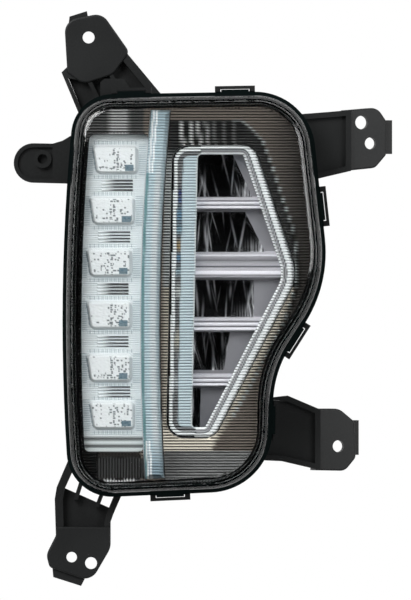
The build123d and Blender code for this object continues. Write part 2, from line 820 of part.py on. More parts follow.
with BuildPart() as outer_lens:
    extrude(lens_outline(-foot_length, flange_width), amount=foot_length + crown_height)
    with Locations(front_plane(crown_height - crown_radius).origin):
        Sphere(crown_radius, mode=Mode.INTERSECT)
    fillet(outer_lens.faces().sort_by(Axis.Y)[0].edges(), radius=crown_edge_radius)
    extrude(lens_outline(0, 0), amount=flange_thickness)
    lug_length = lug_width - 2 * lug_clearance
    lugs = rim_blocks(0, latch_places, lug_length, lug_reach - lug_clearance, -lip_thickness)
    extrude(lugs, amount=flange_thickness)
    add(lens_core.part, mode=Mode.SUBTRACT)
outer_lens.part.label = "outer_lens"
export_step(outer_lens.part, "parts/outer_lens.step")

with BuildPart() as lens_sealant:
    extrude(lens_outline(-groove_depth, groove_outer, groove_width), amount=bead_thickness)
lens_sealant.part.label = "lens_sealant"
export_step(lens_sealant.part, "parts/lens_sealant.step")

bezel_reeds = ribbed_block(bezel_front, reed_height, reed_pitch, bezel_back)
blade_ribs = ribbed_block(blade_front, rib_height, rib_pitch, tray_front)
frame_ribs = ribbed_block(frame_front, rib_height, frame_rib_pitch, silver_front)

with BuildPart() as reeded_bezel:
    extrude(lens_outline(bezel_back, bezel_inset), amount=bezel_plate)
    add(bezel_reeds, mode=Mode.INTERSECT)
    extrude(lens_outline(-ledge_depth, skirt_inset, bezel_skirt), amount=ledge_depth + bezel_back)
    extrude(column(bezel_back, opening_clearance), amount=bezel_plate, mode=Mode.SUBTRACT)
    extrude(blade(bezel_back, opening_clearance), amount=bezel_plate, mode=Mode.SUBTRACT)
    extrude(frame(bezel_back, -opening_clearance), amount=bezel_plate, mode=Mode.SUBTRACT)
    snap_slots = rim_blocks(
        -snap_depth - snap_clearance, snap_places, snap_width, -cavity_inset, -skirt_inset - 2 * bezel_skirt
    )
    extrude(snap_slots, amount=snap_height + 2 * snap_clearance, mode=Mode.SUBTRACT)
reeded_bezel.part.label = "reeded_bezel"
export_step(reeded_bezel.part, "parts/reeded_bezel.step")

with BuildPart() as drl_inner_lens:
    extrude(column(tray_front), amount=inner_lens_base)
    base_front = tray_front + inner_lens_base
    pillows = plates(front_plane(base_front), cell_places, pillow_width, pillow_height, pillow_radius)
    extrude(pillows, amount=pillow_front - base_front)
    crowns = drl_inner_lens.faces().group_by(Axis.Y)[0]
    fillet(crowns.edges(), radius=pillow_edge)
    line_places = [
        (column_centre(rise), rise + (line - (divider_lines - 1) / 2) * divider_line_pitch)
        for rise in divider_rises
        for line in range(divider_lines)
    ]
    lines = plates(front_plane(base_front), line_places, divider_line_width, divider_line_height)
    extrude(lines, amount=divider_line_rise)
drl_inner_lens.part.label = "drl_inner_lens"
export_step(drl_inner_lens.part, "parts/drl_inner_lens.step")

with BuildPart() as drl_reflector:
    extrude(column(-drl_board_depth), amount=drl_board_depth + tray_front)
    ledge_plane = front_plane(tray_front - blade_ledge)
    ledge_shift = column_width - ledge_overlap
    ledge_span = ledge_overlap + opening_clearance + blade_width
    extrude(band(ledge_plane, ledge_shift, ledge_span, blade_top, blade_bottom, 0), amount=blade_ledge)
    pockets = plates(
        front_plane(tray_front),
        cell_places,
        pillow_width + 2 * pocket_margin,
        pillow_height + 2 * pocket_margin,
        pocket_radius + pillow_radius,
    )
    pocket_depth = drl_board_depth + tray_front - tray_floor
    extrude(pockets, amount=-pocket_depth, taper=pocket_taper, mode=Mode.SUBTRACT)
    led_hole = led_size + led_hole_clearance
    led_holes = plates(front_plane(-drl_board_depth), cell_places, led_hole, led_hole)
    extrude(led_holes, amount=tray_floor, mode=Mode.SUBTRACT)
    head_wells = dots(front_plane(tray_front), drl_screw_places, screw_head_radius + head_clearance)
    extrude(head_wells, amount=-pocket_depth, mode=Mode.SUBTRACT)
    drl_clearance_holes = dots(front_plane(-drl_board_depth), drl_screw_places, hole_radius)
    extrude(drl_clearance_holes, amount=tray_floor, mode=Mode.SUBTRACT)
drl_reflector.part.label = "drl_reflector"
export_step(drl_reflector.part, "parts/drl_reflector.step")

with BuildPart() as light_blade:
    extrude(blade(tray_front), amount=blade_front - tray_front)
    add(blade_ribs, mode=Mode.INTERSECT)
light_blade.part.label = "light_blade"
export_step(light_blade.part, "parts/light_blade.step")

with BuildPart() as drl_board:
    extrude(column(-drl_board_depth, -board_inset), amount=-board_thickness)
    drl_board_holes = dots(front_plane(-drl_board_depth), drl_screw_places, hole_radius)
    extrude(drl_board_holes, amount=-board_thickness, mode=Mode.SUBTRACT)
drl_board.part.label = "drl_board"
export_step(drl_board.part, "parts/drl_board.step")

with BuildPart() as drl_leds:
    extrude(plates(front_plane(-drl_board_depth), cell_places, led_size, led_size), amount=led_height)
drl_leds.part.label = "drl_leds"
export_step(drl_leds.part, "parts/drl_leds.step")

drl_board_screws = screws(front_plane(tray_floor - drl_board_depth), drl_screw_places)
drl_board_screws.part.label = "drl_board_screws"
export_step(drl_board_screws.part, "parts/drl_board_screws.step")

with BuildPart() as fins:
    for fin_top, fin_bottom in fin_spans:
        fin_middle = (0, (fin_top + fin_bottom) / 2)
        fin_height = fin_top - fin_bottom
        span = 2 * frame_nose
        extrude(plates(front_plane(silver_front), [fin_middle], span, fin_height), amount=fin_rise)
        ridge_places = [(0, fin_top - fin_ridge / 2), (0, fin_bottom + fin_ridge / 2)]
        extrude(plates(front_plane(silver_front), ridge_places, span, fin_ridge), amount=fin_ridge_rise)
    extrude(window(silver_front, fin_clearance), amount=fin_ridge_rise, mode=Mode.INTERSECT)

with BuildPart() as silver_bezel:
    extrude(frame(reflector_front, silver_inset), amount=silver_plate)
    for cup_span, cup_edges in zip(cup_spans, cup_right_edges):
        mouth = polygons(front_plane(reflector_front), [cup_mouth(cup_span, cup_edges, 0, 0)])
        extrude(mouth, amount=silver_plate, mode=Mode.SUBTRACT)
    add(fins.part)
silver_bezel.part.label = "silver_bezel"
export_step(silver_bezel.part, "parts/silver_bezel.step")

with BuildPart() as light_frame:
    extrude(frame(silver_front), amount=frame_front - silver_front)
    add(frame_ribs, mode=Mode.INTERSECT)
    extrude(window(silver_front), amount=frame_front - silver_front, mode=Mode.SUBTRACT)
light_frame.part.label = "light_frame"
export_step(light_frame.part, "parts/light_frame.step")

with BuildPart() as driving_reflector:
    extrude(frame(reflector_rear, -flange_margin), amount=reflector_flange)
    extrude(dots(front_plane(reflector_rear), reflector_screw_places, ear_radius), amount=reflector_flange)
    for growth, mode in ((cup_wall, Mode.ADD), (0, Mode.SUBTRACT)):
        for cup_span, cup_edges in zip(cup_spans, cup_right_edges):
            mouth_corners = cup_mouth(cup_span, cup_edges, growth, cup_least_width)
            mouth = polygons(front_plane(reflector_front), [mouth_corners])
            back = plates(
                front_plane(cup_back - growth),
                [cup_back_centre(cup_span, cup_edges)],
                cup_back_width + 2 * growth,
                cup_back_height + 2 * growth,
            )
            loft([mouth, back], ruled=True, mode=mode)
    cup_led_hole = cup_led_size + led_hole_clearance
    led_holes = plates(front_plane(cup_back), led_places, cup_led_hole, cup_led_hole)
    extrude(led_holes, amount=-cup_wall, mode=Mode.SUBTRACT)
    ear_holes = dots(front_plane(reflector_front), reflector_screw_places, hole_radius)
    extrude(ear_holes, amount=-reflector_flange, mode=Mode.SUBTRACT)
driving_reflector.part.label = "driving_reflector"
export_step(driving_reflector.part, "parts/driving_reflector.step")

reflector_screws = screws(front_plane(reflector_front), reflector_screw_places)
reflector_screws.part.label = "reflector_screws"
export_step(reflector_screws.part, "parts/reflector_screws.step")

with BuildPart() as driving_board:
    board_face = front_plane(-driving_board_depth)
    board_outline = plates(
        board_face, [driving_board_centre], driving_board_width, driving_board_height, driving_board_radius
    )
    extrude(board_outline, amount=-board_thickness)
    extrude(dots(board_face, driving_screw_places, hole_radius), amount=-board_thickness, mode=Mode.SUBTRACT)
driving_board.part.label = "driving_board"
export_step(driving_board.part, "parts/driving_board.step")

with BuildPart() as driving_leds:
    extrude(plates(board_face, led_places, cup_led_size, cup_led_size), amount=led_height)
driving_leds.part.label = "driving_leds"
export_step(driving_leds.part, "parts/driving_leds.step")

driving_board_screws = screws(board_face, driving_screw_places)
driving_board_screws.part.label = "driving_board_screws"
export_step(driving_board_screws.part, "parts/driving_board_screws.step")

with BuildPart() as heat_sink:
    pedestal = plates(
        front_plane(-driving_board_back),
        [driving_board_centre],
        driving_board_width,
        driving_board_height,
        driving_board_radius,
    )
    extrude(pedestal, amount=driving_board_back - sink_face)
    sink_plane = front_plane(-sink_face)
    sink_plate = plates(sink_plane, [driving_board_centre], sink_width, sink_height, cover_radius)
    extrude(sink_plate, amount=-sink_flange)
    fin_pitch = (driving_board_width + sink_fin_thickness) / (sink_fin_count - 1)
    sink_fin_places = [
        (driving_board_centre[0] + (index - (sink_fin_count - 1) / 2) * fin_pitch, driving_board_centre[1])
        for index in range(sink_fin_count)
    ]
    sink_fins = plates(front_plane(-sink_back), sink_fin_places, sink_fin_thickness, driving_board_height)
    extrude(sink_fins, amount=-sink_fin_length)
    sink_pilots = dots(front_plane(-driving_board_back), driving_screw_places, pilot_radius)
    sink_pilot_depth = screw_length - board_thickness + screw_tip_clearance
    extrude(sink_pilots, amount=-sink_pilot_depth, mode=Mode.SUBTRACT)
    extrude(dots(sink_plane, sink_screw_places, hole_radius), amount=-sink_flange, mode=Mode.SUBTRACT)
heat_sink.part.label = "heat_sink"
export_step(heat_sink.part, "parts/heat_sink.step")

with BuildPart() as heat_sink_gasket:
    gasket_face = front_plane(-housing_depth)
    sink_gasket = plates(gasket_face, [driving_board_centre], sink_width, sink_height, cover_radius)
    extrude(sink_gasket, amount=-gasket_thickness)
    sink_gap = plates(
        gasket_face, [driving_board_centre], opening_width, opening_height, driving_board_radius
    )
    extrude(sink_gap, amount=-gasket_thickness, mode=Mode.SUBTRACT)
    extrude(dots(gasket_face, sink_screw_places, hole_radius), amount=-gasket_thickness, mode=Mode.SUBTRACT)
heat_sink_gasket.part.label = "heat_sink_gasket"
export_step(heat_sink_gasket.part, "parts/heat_sink_gasket.step")

heat_sink_screws = screws(rear_plane(-sink_back), mirrored(sink_screw_places))
heat_sink_screws.part.label = "heat_sink_screws"
export_step(heat_sink_screws.part, "parts/heat_sink_screws.step")

with BuildPart() as rear_cover:
    cover_plane = front_plane(-cover_face)
    extrude(plates(cover_plane, [cover_centre], cover_width, cover_height, cover_radius), amount=-cover_plate)
    extrude(dots(cover_plane, driver_screw_places, boss_radius), amount=driver_board_gap)
    driver_pilots = dots(front_plane(-driver_board_back), driver_screw_places, pilot_radius)
    driver_pilot_depth = screw_length - board_thickness + screw_tip_clearance
    extrude(driver_pilots, amount=-driver_pilot_depth, mode=Mode.SUBTRACT)
    extrude(dots(cover_plane, cover_screw_places, hole_radius), amount=-cover_plate, mode=Mode.SUBTRACT)
    socket_plane = front_plane(-cover_back)
    shroud = plates(socket_plane, [socket_centre], socket_width, socket_height, socket_radius)
    extrude(shroud, amount=-socket_length)
    socket_bore = plates(
        socket_plane, [socket_centre], socket_width - 2 * socket_wall, socket_height - 2 * socket_wall
    )
    extrude(socket_bore, amount=-socket_length, mode=Mode.SUBTRACT)
    terminal_slots = plates(
        cover_plane,
        terminal_places,
        terminal_thickness + 2 * terminal_clearance,
        terminal_width + 2 * terminal_clearance,
    )
    extrude(terminal_slots, amount=-cover_plate, mode=Mode.SUBTRACT)
rear_cover.part.label = "rear_cover"
export_step(rear_cover.part, "parts/rear_cover.step")

with BuildPart() as rear_cover_gasket:
    cover_gasket = plates(gasket_face, [cover_centre], cover_width, cover_height, cover_radius)
    extrude(cover_gasket, amount=-gasket_thickness)
    extrude(
        plates(gasket_face, [cover_centre], bay_width, bay_height, bay_radius),
        amount=-gasket_thickness,
        mode=Mode.SUBTRACT,
    )
    extrude(dots(gasket_face, cover_screw_places, hole_radius), amount=-gasket_thickness, mode=Mode.SUBTRACT)
rear_cover_gasket.part.label = "rear_cover_gasket"
export_step(rear_cover_gasket.part, "parts/rear_cover_gasket.step")

rear_cover_screws = screws(rear_plane(-cover_back), mirrored(cover_screw_places))
rear_cover_screws.part.label = "rear_cover_screws"
export_step(rear_cover_screws.part, "parts/rear_cover_screws.step")

with BuildPart() as driver_board:
    driver_face = front_plane(-driver_board_front)
    driver_outline = plates(driver_face, [cover_centre], driver_board_width, driver_board_height, bay_radius)
    extrude(driver_outline, amount=-board_thickness)
    extrude(dots(driver_face, driver_screw_places, hole_radius), amount=-board_thickness, mode=Mode.SUBTRACT)
driver_board.part.label = "driver_board"
export_step(driver_board.part, "parts/driver_board.step")

with BuildPart() as driver_components:
    inductor = plates(driver_face, on_cover([inductor_place]), inductor_size, inductor_size, bay_radius)
    extrude(inductor, amount=inductor_height)
    extrude(dots(driver_face, on_cover(capacitor_places), capacitor_radius), amount=capacitor_height)
    extrude(plates(driver_face, on_cover(chip_places), chip_size, chip_size), amount=chip_height)
driver_components.part.label = "driver_components"
export_step(driver_components.part, "parts/driver_components.step")

driver_board_screws = screws(driver_face, driver_screw_places)
driver_board_screws.part.label = "driver_board_screws"
export_step(driver_board_screws.part, "parts/driver_board_screws.step")

with BuildPart() as connector_terminals:
    terminal_plane = front_plane(-driver_board_back)
    terminals = plates(terminal_plane, terminal_places, terminal_thickness, terminal_width)
    extrude(terminals, amount=driver_board_back - cover_back - terminal_reach)
connector_terminals.part.label = "connector_terminals"
export_step(connector_terminals.part, "parts/connector_terminals.step")

with BuildPart() as breather_caps:
    cap_bore = breather_radius + cap_clearance
    cap_start = front_plane(-housing_depth - cap_gap)
    cap_skirt = breather_length - cap_gap
    extrude(dots(cap_start, breather_places, cap_bore + cap_wall), amount=-cap_skirt - cap_crown)
    extrude(dots(cap_start, breather_places, cap_bore), amount=-cap_skirt, mode=Mode.SUBTRACT)
breather_caps.part.label = "breather_caps"
export_step(breather_caps.part, "parts/breather_caps.step")
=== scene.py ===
import math
import random

import bmesh
import bpy
import numpy as np
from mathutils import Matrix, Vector, geometry


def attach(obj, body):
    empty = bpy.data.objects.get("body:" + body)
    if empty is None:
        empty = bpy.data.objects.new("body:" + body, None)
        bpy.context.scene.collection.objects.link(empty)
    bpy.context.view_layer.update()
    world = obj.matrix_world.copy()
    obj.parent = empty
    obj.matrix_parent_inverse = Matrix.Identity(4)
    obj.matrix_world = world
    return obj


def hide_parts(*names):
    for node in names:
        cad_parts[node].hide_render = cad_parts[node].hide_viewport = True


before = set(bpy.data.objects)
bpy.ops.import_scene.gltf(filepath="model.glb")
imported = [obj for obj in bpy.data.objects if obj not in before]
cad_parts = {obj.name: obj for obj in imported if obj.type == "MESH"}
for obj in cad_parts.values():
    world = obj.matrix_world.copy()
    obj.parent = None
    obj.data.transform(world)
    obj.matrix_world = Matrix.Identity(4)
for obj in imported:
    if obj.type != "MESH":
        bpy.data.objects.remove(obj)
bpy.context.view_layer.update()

# The lens centre and the lens parting plane; flat positions below are in mm from that centre, seen from the
# front, and "depth" is mm in front of the parting plane
lensAt = {"x": 0.05885, "z": -0.1424, "partingY": -0.030}
mm = 0.001


def place(u, v, depth):
    return (lensAt["x"] + u * mm, lensAt["partingY"] - depth * mm, lensAt["z"] + v * mm)


def addNode(tree, kind, at=(0, 0), **settings):
    node = tree.nodes.new(kind)
    node.location = at
    for key, value in settings.items():
        setattr(node, key, value)
    return node


def newGroup(name, inputs, outputs):
    group = bpy.data.node_groups.new(name, "ShaderNodeTree")
    for label, kind, value in inputs:
        socket = group.interface.new_socket(label, in_out="INPUT", socket_type=kind)
        socket.default_value = value
    for label, kind in outputs:
        group.interface.new_socket(label, in_out="OUTPUT", socket_type=kind)
    start = addNode(group, "NodeGroupInput", (-800, 0))
    end = addNode(group, "NodeGroupOutput", (600, 0))
    return group, start, end


def mouldGrain():
    # fine spark-eroded grain and a slow drift in shade and gloss, in the part's own coordinates
    group, start, end = newGroup(
        "mouldGrain",
        [("Grain Scale", "NodeSocketFloat", 1500.0), ("Drift Scale", "NodeSocketFloat", 25.0),
         ("Dark", "NodeSocketColor", (0, 0, 0, 1)), ("Light", "NodeSocketColor", (1, 1, 1, 1)),
         ("Rough Low", "NodeSocketFloat", 0.3), ("Rough High", "NodeSocketFloat", 0.5)],
        [("Color", "NodeSocketColor"), ("Roughness", "NodeSocketFloat"), ("Height", "NodeSocketFloat")],
    )
    link = group.links.new
    coords = addNode(group, "ShaderNodeTexCoord", (-800, 300))
    fine = addNode(group, "ShaderNodeTexNoise", (-500, 200))
    fine.inputs["Detail"].default_value = 3
    slow = addNode(group, "ShaderNodeTexNoise", (-500, -100))
    slow.inputs["Detail"].default_value = 2
    link(coords.outputs["Object"], fine.inputs["Vector"])
    link(coords.outputs["Object"], slow.inputs["Vector"])
    link(start.outputs["Grain Scale"], fine.inputs["Scale"])
    link(start.outputs["Drift Scale"], slow.inputs["Scale"])
    both = addNode(group, "ShaderNodeMath", (-250, 100), operation="MULTIPLY_ADD")
    both.inputs[1].default_value = 0.6
    link(fine.outputs["Fac"], both.inputs[0])
    soft = addNode(group, "ShaderNodeMath", (-250, -100), operation="MULTIPLY")
    soft.inputs[1].default_value = 0.4
    link(slow.outputs["Fac"], soft.inputs[0])
    link(soft.outputs[0], both.inputs[2])
    shade = addNode(group, "ShaderNodeMix", (100, 200), data_type="RGBA")
    link(both.outputs[0], shade.inputs["Factor"])
    link(start.outputs["Dark"], shade.inputs["A"])
    link(start.outputs["Light"], shade.inputs["B"])
    gloss = addNode(group, "ShaderNodeMix", (100, -100), data_type="FLOAT")
    link(slow.outputs["Fac"], gloss.inputs["Factor"])
    link(start.outputs["Rough Low"], gloss.inputs["A"])
    link(start.outputs["Rough High"], gloss.inputs["B"])
    link(shade.outputs["Result"], end.inputs["Color"])
    link(gloss.outputs["Result"], end.inputs["Roughness"])
    link(fine.outputs["Fac"], end.inputs["Height"])
    return group


grainGroup = mouldGrain()


def finish(name, look):
    # one finish: the grain group drives colour, roughness and a fine bump
    material = bpy.data.materials.new(name)
    material.use_nodes = True
    tree = material.node_tree
    shader = tree.nodes["Principled BSDF"]
    grain = addNode(tree, "ShaderNodeGroup", (-500, 200), node_tree=grainGroup)
    grain.inputs["Grain Scale"].default_value = look.get("grain", 1500.0)
    grain.inputs["Drift Scale"].default_value = look.get("drift", 25.0)
    grain.inputs["Dark"].default_value = (*look["dark"], 1)
    grain.inputs["Light"].default_value = (*look["light"], 1)
    grain.inputs["Rough Low"].default_value = look["rough"][0]
    grain.inputs["Rough High"].default_value = look["rough"][1]
    colour = grain.outputs["Color"]
    if look.get("painted"):
        # the piece's colours, with its painted highlights, reflections and shade, kept on its points, under
        # the grain
        paint = addNode(tree, "ShaderNodeAttribute", (-500, 450), attribute_name="paint")
        shaded = addNode(tree, "ShaderNodeMix", (-250, 350), data_type="RGBA", blend_type="MULTIPLY")
        shaded.inputs["Factor"].default_value = 1.0
        tree.links.new(paint.outputs["Color"], shaded.inputs["A"])
        tree.links.new(colour, shaded.inputs["B"])
        colour = shaded.outputs["Result"]
    tree.links.new(colour, shader.inputs["Base Color"])
    tree.links.new(grain.outputs["Roughness"], shader.inputs["Roughness"])
    if look.get("bump"):
        bump = addNode(tree, "ShaderNodeBump", (-250, -200))
        bump.inputs["Strength"].default_value = look["bump"]
        bump.inputs["Distance"].default_value = look.get("bumpDepth", 0.00005)
        tree.links.new(grain.outputs["Height"], bump.inputs["Height"])
        tree.links.new(bump.outputs["Normal"], shader.inputs["Normal"])
    for socket, value in look.get("plain", {}).items():
        shader.inputs[socket].default_value = value
    return material


def clearFinish(name, look):
    # clear plastic: transmission for what is seen, plain transparency for the light that passes through
    material = finish(name, look)
    tree = material.node_tree
    shader = tree.nodes["Principled BSDF"]
    out = tree.nodes["Material Output"]
    passing = addNode(tree, "ShaderNodeBsdfTransparent", (200, -250))
    passing.inputs["Color"].default_value = (*look["passing"], 1)
    path = addNode(tree, "ShaderNodeLightPath", (200, 400))
    mix = addNode(tree, "ShaderNodeMixShader", (450, 100))
    tree.links.new(path.outputs["Is Shadow Ray"], mix.inputs["Fac"])
    tree.links.new(shader.outputs["BSDF"], mix.inputs[1])
    tree.links.new(passing.outputs["BSDF"], mix.inputs[2])
    tree.links.new(mix.outputs["Shader"], out.inputs["Surface"])
    return material


looks = {
    "housing": {"dark": (0.005, 0.005, 0.0055), "light": (0.022, 0.024, 0.024), "rough": (0.34, 0.52),
                "grain": 1300.0, "bump": 0.45, "plain": {"Specular IOR Level": 0.30}},
    # gloss black reeds; the brown and beige lines on them are painted reflections, held on the piece's points
    "glossBlackPaintedSheen": {"dark": (0.88, 0.87, 0.86), "light": (1.0, 1.0, 1.0), "rough": (0.20, 0.30),
                     "painted": True, "grain": 600.0,
                     "plain": {"Metallic": 0.15, "Specular IOR Level": 0.12}},
    "cupMirror": {"dark": (0.85, 0.85, 0.87), "light": (1.0, 1.0, 1.0), "rough": (0.12, 0.20),
                  "painted": True, "grain": 700.0, "plain": {"Metallic": 0.2, "Specular IOR Level": 0.15}},
    "finSilver": {"dark": (0.90, 0.90, 0.90), "light": (1.0, 1.0, 1.0), "rough": (0.30, 0.42),
                  "painted": True, "grain": 2500.0, "bump": 0.15, "plain": {"Metallic": 0.25}},
    "rimBlack": {"dark": (0.003, 0.005, 0.005), "light": (0.006, 0.010, 0.010), "rough": (0.05, 0.10),
                 "grain": 500.0, "plain": {"Specular IOR Level": 0.07}},
    "aluminised": {"dark": (0.70, 0.70, 0.72), "light": (0.82, 0.82, 0.84), "rough": (0.04, 0.08),
                   "grain": 700.0, "plain": {"Metallic": 1.0}},
    "cellTray": {"dark": (0.80, 0.83, 0.85), "light": (0.92, 0.94, 0.95), "rough": (0.22, 0.30),
                 "grain": 700.0, "plain": {"Metallic": 0.35}},
    "satinSilver": {"dark": (0.44, 0.43, 0.46), "light": (0.56, 0.55, 0.58), "rough": (0.30, 0.42),
                    "grain": 2500.0, "bump": 0.15, "plain": {"Metallic": 0.7}},
    "board": {"dark": (0.70, 0.71, 0.70), "light": (0.86, 0.87, 0.86), "rough": (0.40, 0.55), "bump": 0.1},
    "led": {"dark": (0.85, 0.72, 0.22), "light": (0.93, 0.86, 0.42), "rough": (0.25, 0.35)},
    "castAluminium": {"dark": (0.42, 0.43, 0.45), "light": (0.58, 0.59, 0.61), "rough": (0.42, 0.60),
                      "grain": 900.0, "bump": 0.6, "bumpDepth": 0.0001, "plain": {"Metallic": 1.0}},
    "seal": {"dark": (0.018, 0.018, 0.019), "light": (0.036, 0.036, 0.038), "rough": (0.65, 0.80),
             "grain": 1200.0, "bump": 0.3},
    "screw": {"dark": (0.50, 0.50, 0.51), "light": (0.66, 0.66, 0.67), "rough": (0.24, 0.36),
              "grain": 2500.0, "bump": 0.2, "plain": {"Metallic": 1.0}},
    "components": {"dark": (0.03, 0.03, 0.033), "light": (0.06, 0.06, 0.065), "rough": (0.45, 0.6),
                   "bump": 0.3},
    "terminal": {"dark": (0.64, 0.60, 0.42), "light": (0.80, 0.75, 0.56), "rough": (0.2, 0.3),
                 "plain": {"Metallic": 1.0}},
}
materials = {name: finish(name, look) for name, look in looks.items()}

clearLooks = {
    "lensClear": {"dark": (0.955, 0.97, 0.97), "light": (0.985, 0.995, 0.995), "rough": (0.0, 0.012),
                  "passing": (0.93, 0.94, 0.94), "plain": {"Transmission Weight": 1.0, "IOR": 1.45}},
    "guideClear": {"dark": (0.94, 0.95, 0.96), "light": (1.0, 1.0, 1.0), "rough": (0.06, 0.14),
                   "painted": True, "passing": (0.90, 0.93, 0.95),
                   "plain": {"Transmission Weight": 0.15, "IOR": 1.42}},
}
materials.update({name: clearFinish(name, look) for name, look in clearLooks.items()})
print("materials:", len(materials))

nodeFinish = {
    "housing": "housing", "outer_lens": "lensClear", "lens_sealant": "seal", "reeded_bezel": "glossBlackPaintedSheen",
    "drl_inner_lens": "guideClear", "drl_reflector": "cellTray", "light_blade": "guideClear",
    "drl_board": "board", "drl_leds": "led", "drl_board_screws": "screw", "silver_bezel": "satinSilver",
    "light_frame": "guideClear", "driving_reflector": "aluminised", "reflector_screws": "screw",
    "driving_board": "board", "driving_leds": "led", "driving_board_screws": "screw",
    "heat_sink": "castAluminium", "heat_sink_gasket": "seal", "heat_sink_screws": "screw",
    "rear_cover": "housing", "rear_cover_gasket": "seal", "rear_cover_screws": "screw",
    "driver_board": "board", "driver_components": "components", "driver_board_screws": "screw",
    "connector_terminals": "terminal", "breather_caps": "seal",
}


def dress(obj, materialName):
    obj.data.materials.clear()
    obj.data.materials.append(materials[materialName])


for nodeName, materialName in nodeFinish.items():
    dress(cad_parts[nodeName], materialName)
print("nodes dressed:", len(nodeFinish))


def nodeLoops(nodeName, depth):
    # the closed outlines of a node's flat face at one depth, longest first
    shape = bmesh.new()
    shape.from_mesh(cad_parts[nodeName].data)
    bmesh.ops.remove_doubles(shape, verts=shape.verts, dist=2e-6)
    planeY = lensAt["partingY"] - depth * mm
    flat = {face for face in shape.faces if all(abs(vert.co.y - planeY) < 2e-5 for vert in face.verts)}
    following = {}
    for face in (face for face in shape.faces if face in flat):
        for corner in face.loops:
            if sum(1 for other in corner.edge.link_faces if other in flat) == 1:
                following[corner.vert] = corner.link_loop_next.vert
    loops = []
    while following:
        first, here = following.popitem()
        ring = [first]
        while here != first:
            ring.append(here)
            here = following.pop(here)
        loops.append(np.array([((v.co.x - lensAt["x"]) / mm, (v.co.z - lensAt["z"]) / mm) for v in ring]))
    shape.free()
    return sorted(loops, key=lambda loop: -np.linalg.norm(loop - np.roll(loop, 1, axis=0), axis=1).sum())


def densify(loop, step):
    points = []
    for here, there in zip(loop, np.roll(loop, -1, axis=0)):
        count = max(1, int(np.ceil(np.linalg.norm(there - here) / step)))
        points += [here + (there - here) * index / count for index in range(count)]
    return np.array(points)


def grown(loop, amount):
    # the outline moved outwards by amount, point by point
    before = loop - np.roll(loop, 1, axis=0)
    after = np.roll(loop, -1, axis=0) - loop
    before /= np.linalg.norm(before, axis=1)[:, None]
    after /= np.linalg.norm(after, axis=1)[:, None]
    along = before + after
    along /= np.linalg.norm(along, axis=1)[:, None]
    x, y = loop[:, 0], loop[:, 1]
    turn = np.sign(np.sum(x * np.roll(y, -1) - np.roll(x, -1) * y))
    return loop + turn * amount * np.column_stack((along[:, 1], -along[:, 0]))


def insideLoops(points, loops):
    inside = np.zeros(len(points), bool)
    x, y = points[:, 0], points[:, 1]
    for loop in loops:
        for (ax, ay), (bx, by) in zip(loop, np.roll(loop, -1, axis=0)):
            if ay != by:
                inside ^= ((ay > y) != (by > y)) & (x < ax + (y - ay) / (by - ay) * (bx - ax))
    return inside


def lineDistance(points, line):
    # distance to a closed outline
    nearest = np.full(len(points), 1e9)
    for here, there in zip(line, np.roll(line, -1, axis=0)):
        step = there - here
        share = np.clip((points - here) @ step / max(step @ step, 1e-12), 0, 1)
        gap = points - here - share[:, None] * step
        nearest = np.minimum(nearest, np.einsum("ij,ij->i", gap, gap))
    return np.sqrt(nearest)


def edgeDistance(points, loops):
    return np.min([lineDistance(points, loop) for loop in loops], axis=0)


def fillOutline(rims, inner):
    # triangles over the area between the rims, with the inner points as extra corners
    points = np.vstack(rims + ([inner] if len(inner) else []))
    edges = []
    start = 0
    for rim in rims:
        edges += [(start + index, start + (index + 1) % len(rim)) for index in range(len(rim))]
        start += len(rim)
    verts, _, faces, origins, _, _ = geometry.delaunay_2d_cdt(
        [Vector((float(u), float(v))) for u, v in points], edges, [], 0, 1e-7
    )
    flat = np.array([(vert.x, vert.y) for vert in verts])
    triangles = np.array([list(face) for face in faces])
    triangles = triangles[insideLoops(flat[triangles].mean(axis=1), rims)]
    rimOf = {out: ins[0] for out, ins in enumerate(origins) if ins and ins[0] < start}
    return flat, triangles, rimOf


def reliefPiece(name, loops, grid, surfaceAt, back, edgeStep=0.4, sharp=55):
    # a solid sheet: relief front, straight edges, flat back
    rims = [densify(loop, edgeStep) for loop in loops]
    inner = grid[insideLoops(grid, rims)]
    inner = inner[edgeDistance(inner, loops) > 0.3 * edgeStep]
    flat, triangles, rimOf = fillOutline(rims, inner)
    depth, paint = surfaceAt(flat, edgeDistance(flat, loops))
    verts = [place(u, v, d) for (u, v), d in zip(flat, depth)]
    rimPoints = np.vstack(rims)
    backStart = len(verts)
    verts += [place(u, v, back) for u, v in rimPoints]
    faces = [tuple(int(corner) for corner in triangle) for triangle in triangles]
    used = {}
    for a, b, c in faces:
        for pair in ((a, b), (b, c), (c, a)):
            used[pair] = True
    for a, b in used:
        if (b, a) not in used and a in rimOf and b in rimOf:
            faces.append((b, a, backStart + rimOf[a], backStart + rimOf[b]))
    _, backTriangles, backRim = fillOutline(rims, np.empty((0, 2)))
    for triangle in backTriangles:
        if all(int(corner) in backRim for corner in triangle):
            faces.append(tuple(backStart + backRim[int(corner)] for corner in triangle[::-1]))
    mesh = bpy.data.meshes.new(name)
    mesh.from_pydata(verts, [], faces)
    shades = np.vstack([paint, np.full((len(rimPoints), 3), 0.02)])
    shades = np.column_stack([np.clip(shades, 0, 1), np.ones(len(shades))])
    mesh.attributes.new("paint", "FLOAT_COLOR", "POINT").data.foreach_set("color", shades.ravel())
    mesh.validate()
    mesh.polygons.foreach_set("use_smooth", [True] * len(mesh.polygons))
    mesh.set_sharp_from_angle(angle=math.radians(sharp))
    mesh.update()
    print(name, "triangles:", len(mesh.polygons))
    return mesh


def gridPoints(low, high, uStep, vStep):
    us = np.arange(low[0], high[0] + uStep, uStep)
    vs = np.arange(math.floor(low[1] / vStep) * vStep, high[1] + vStep, vStep)
    return np.array([(u, v) for v in vs for u in us])


def addPiece(name, mesh, materialName, slot, *nodes):
    piece = bpy.data.objects.new(name, mesh)
    bpy.context.scene.collection.objects.link(piece)
    mesh.materials.append(materials[materialName])
    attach(piece, "root")
    if nodes:
        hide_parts(*nodes)
    return piece


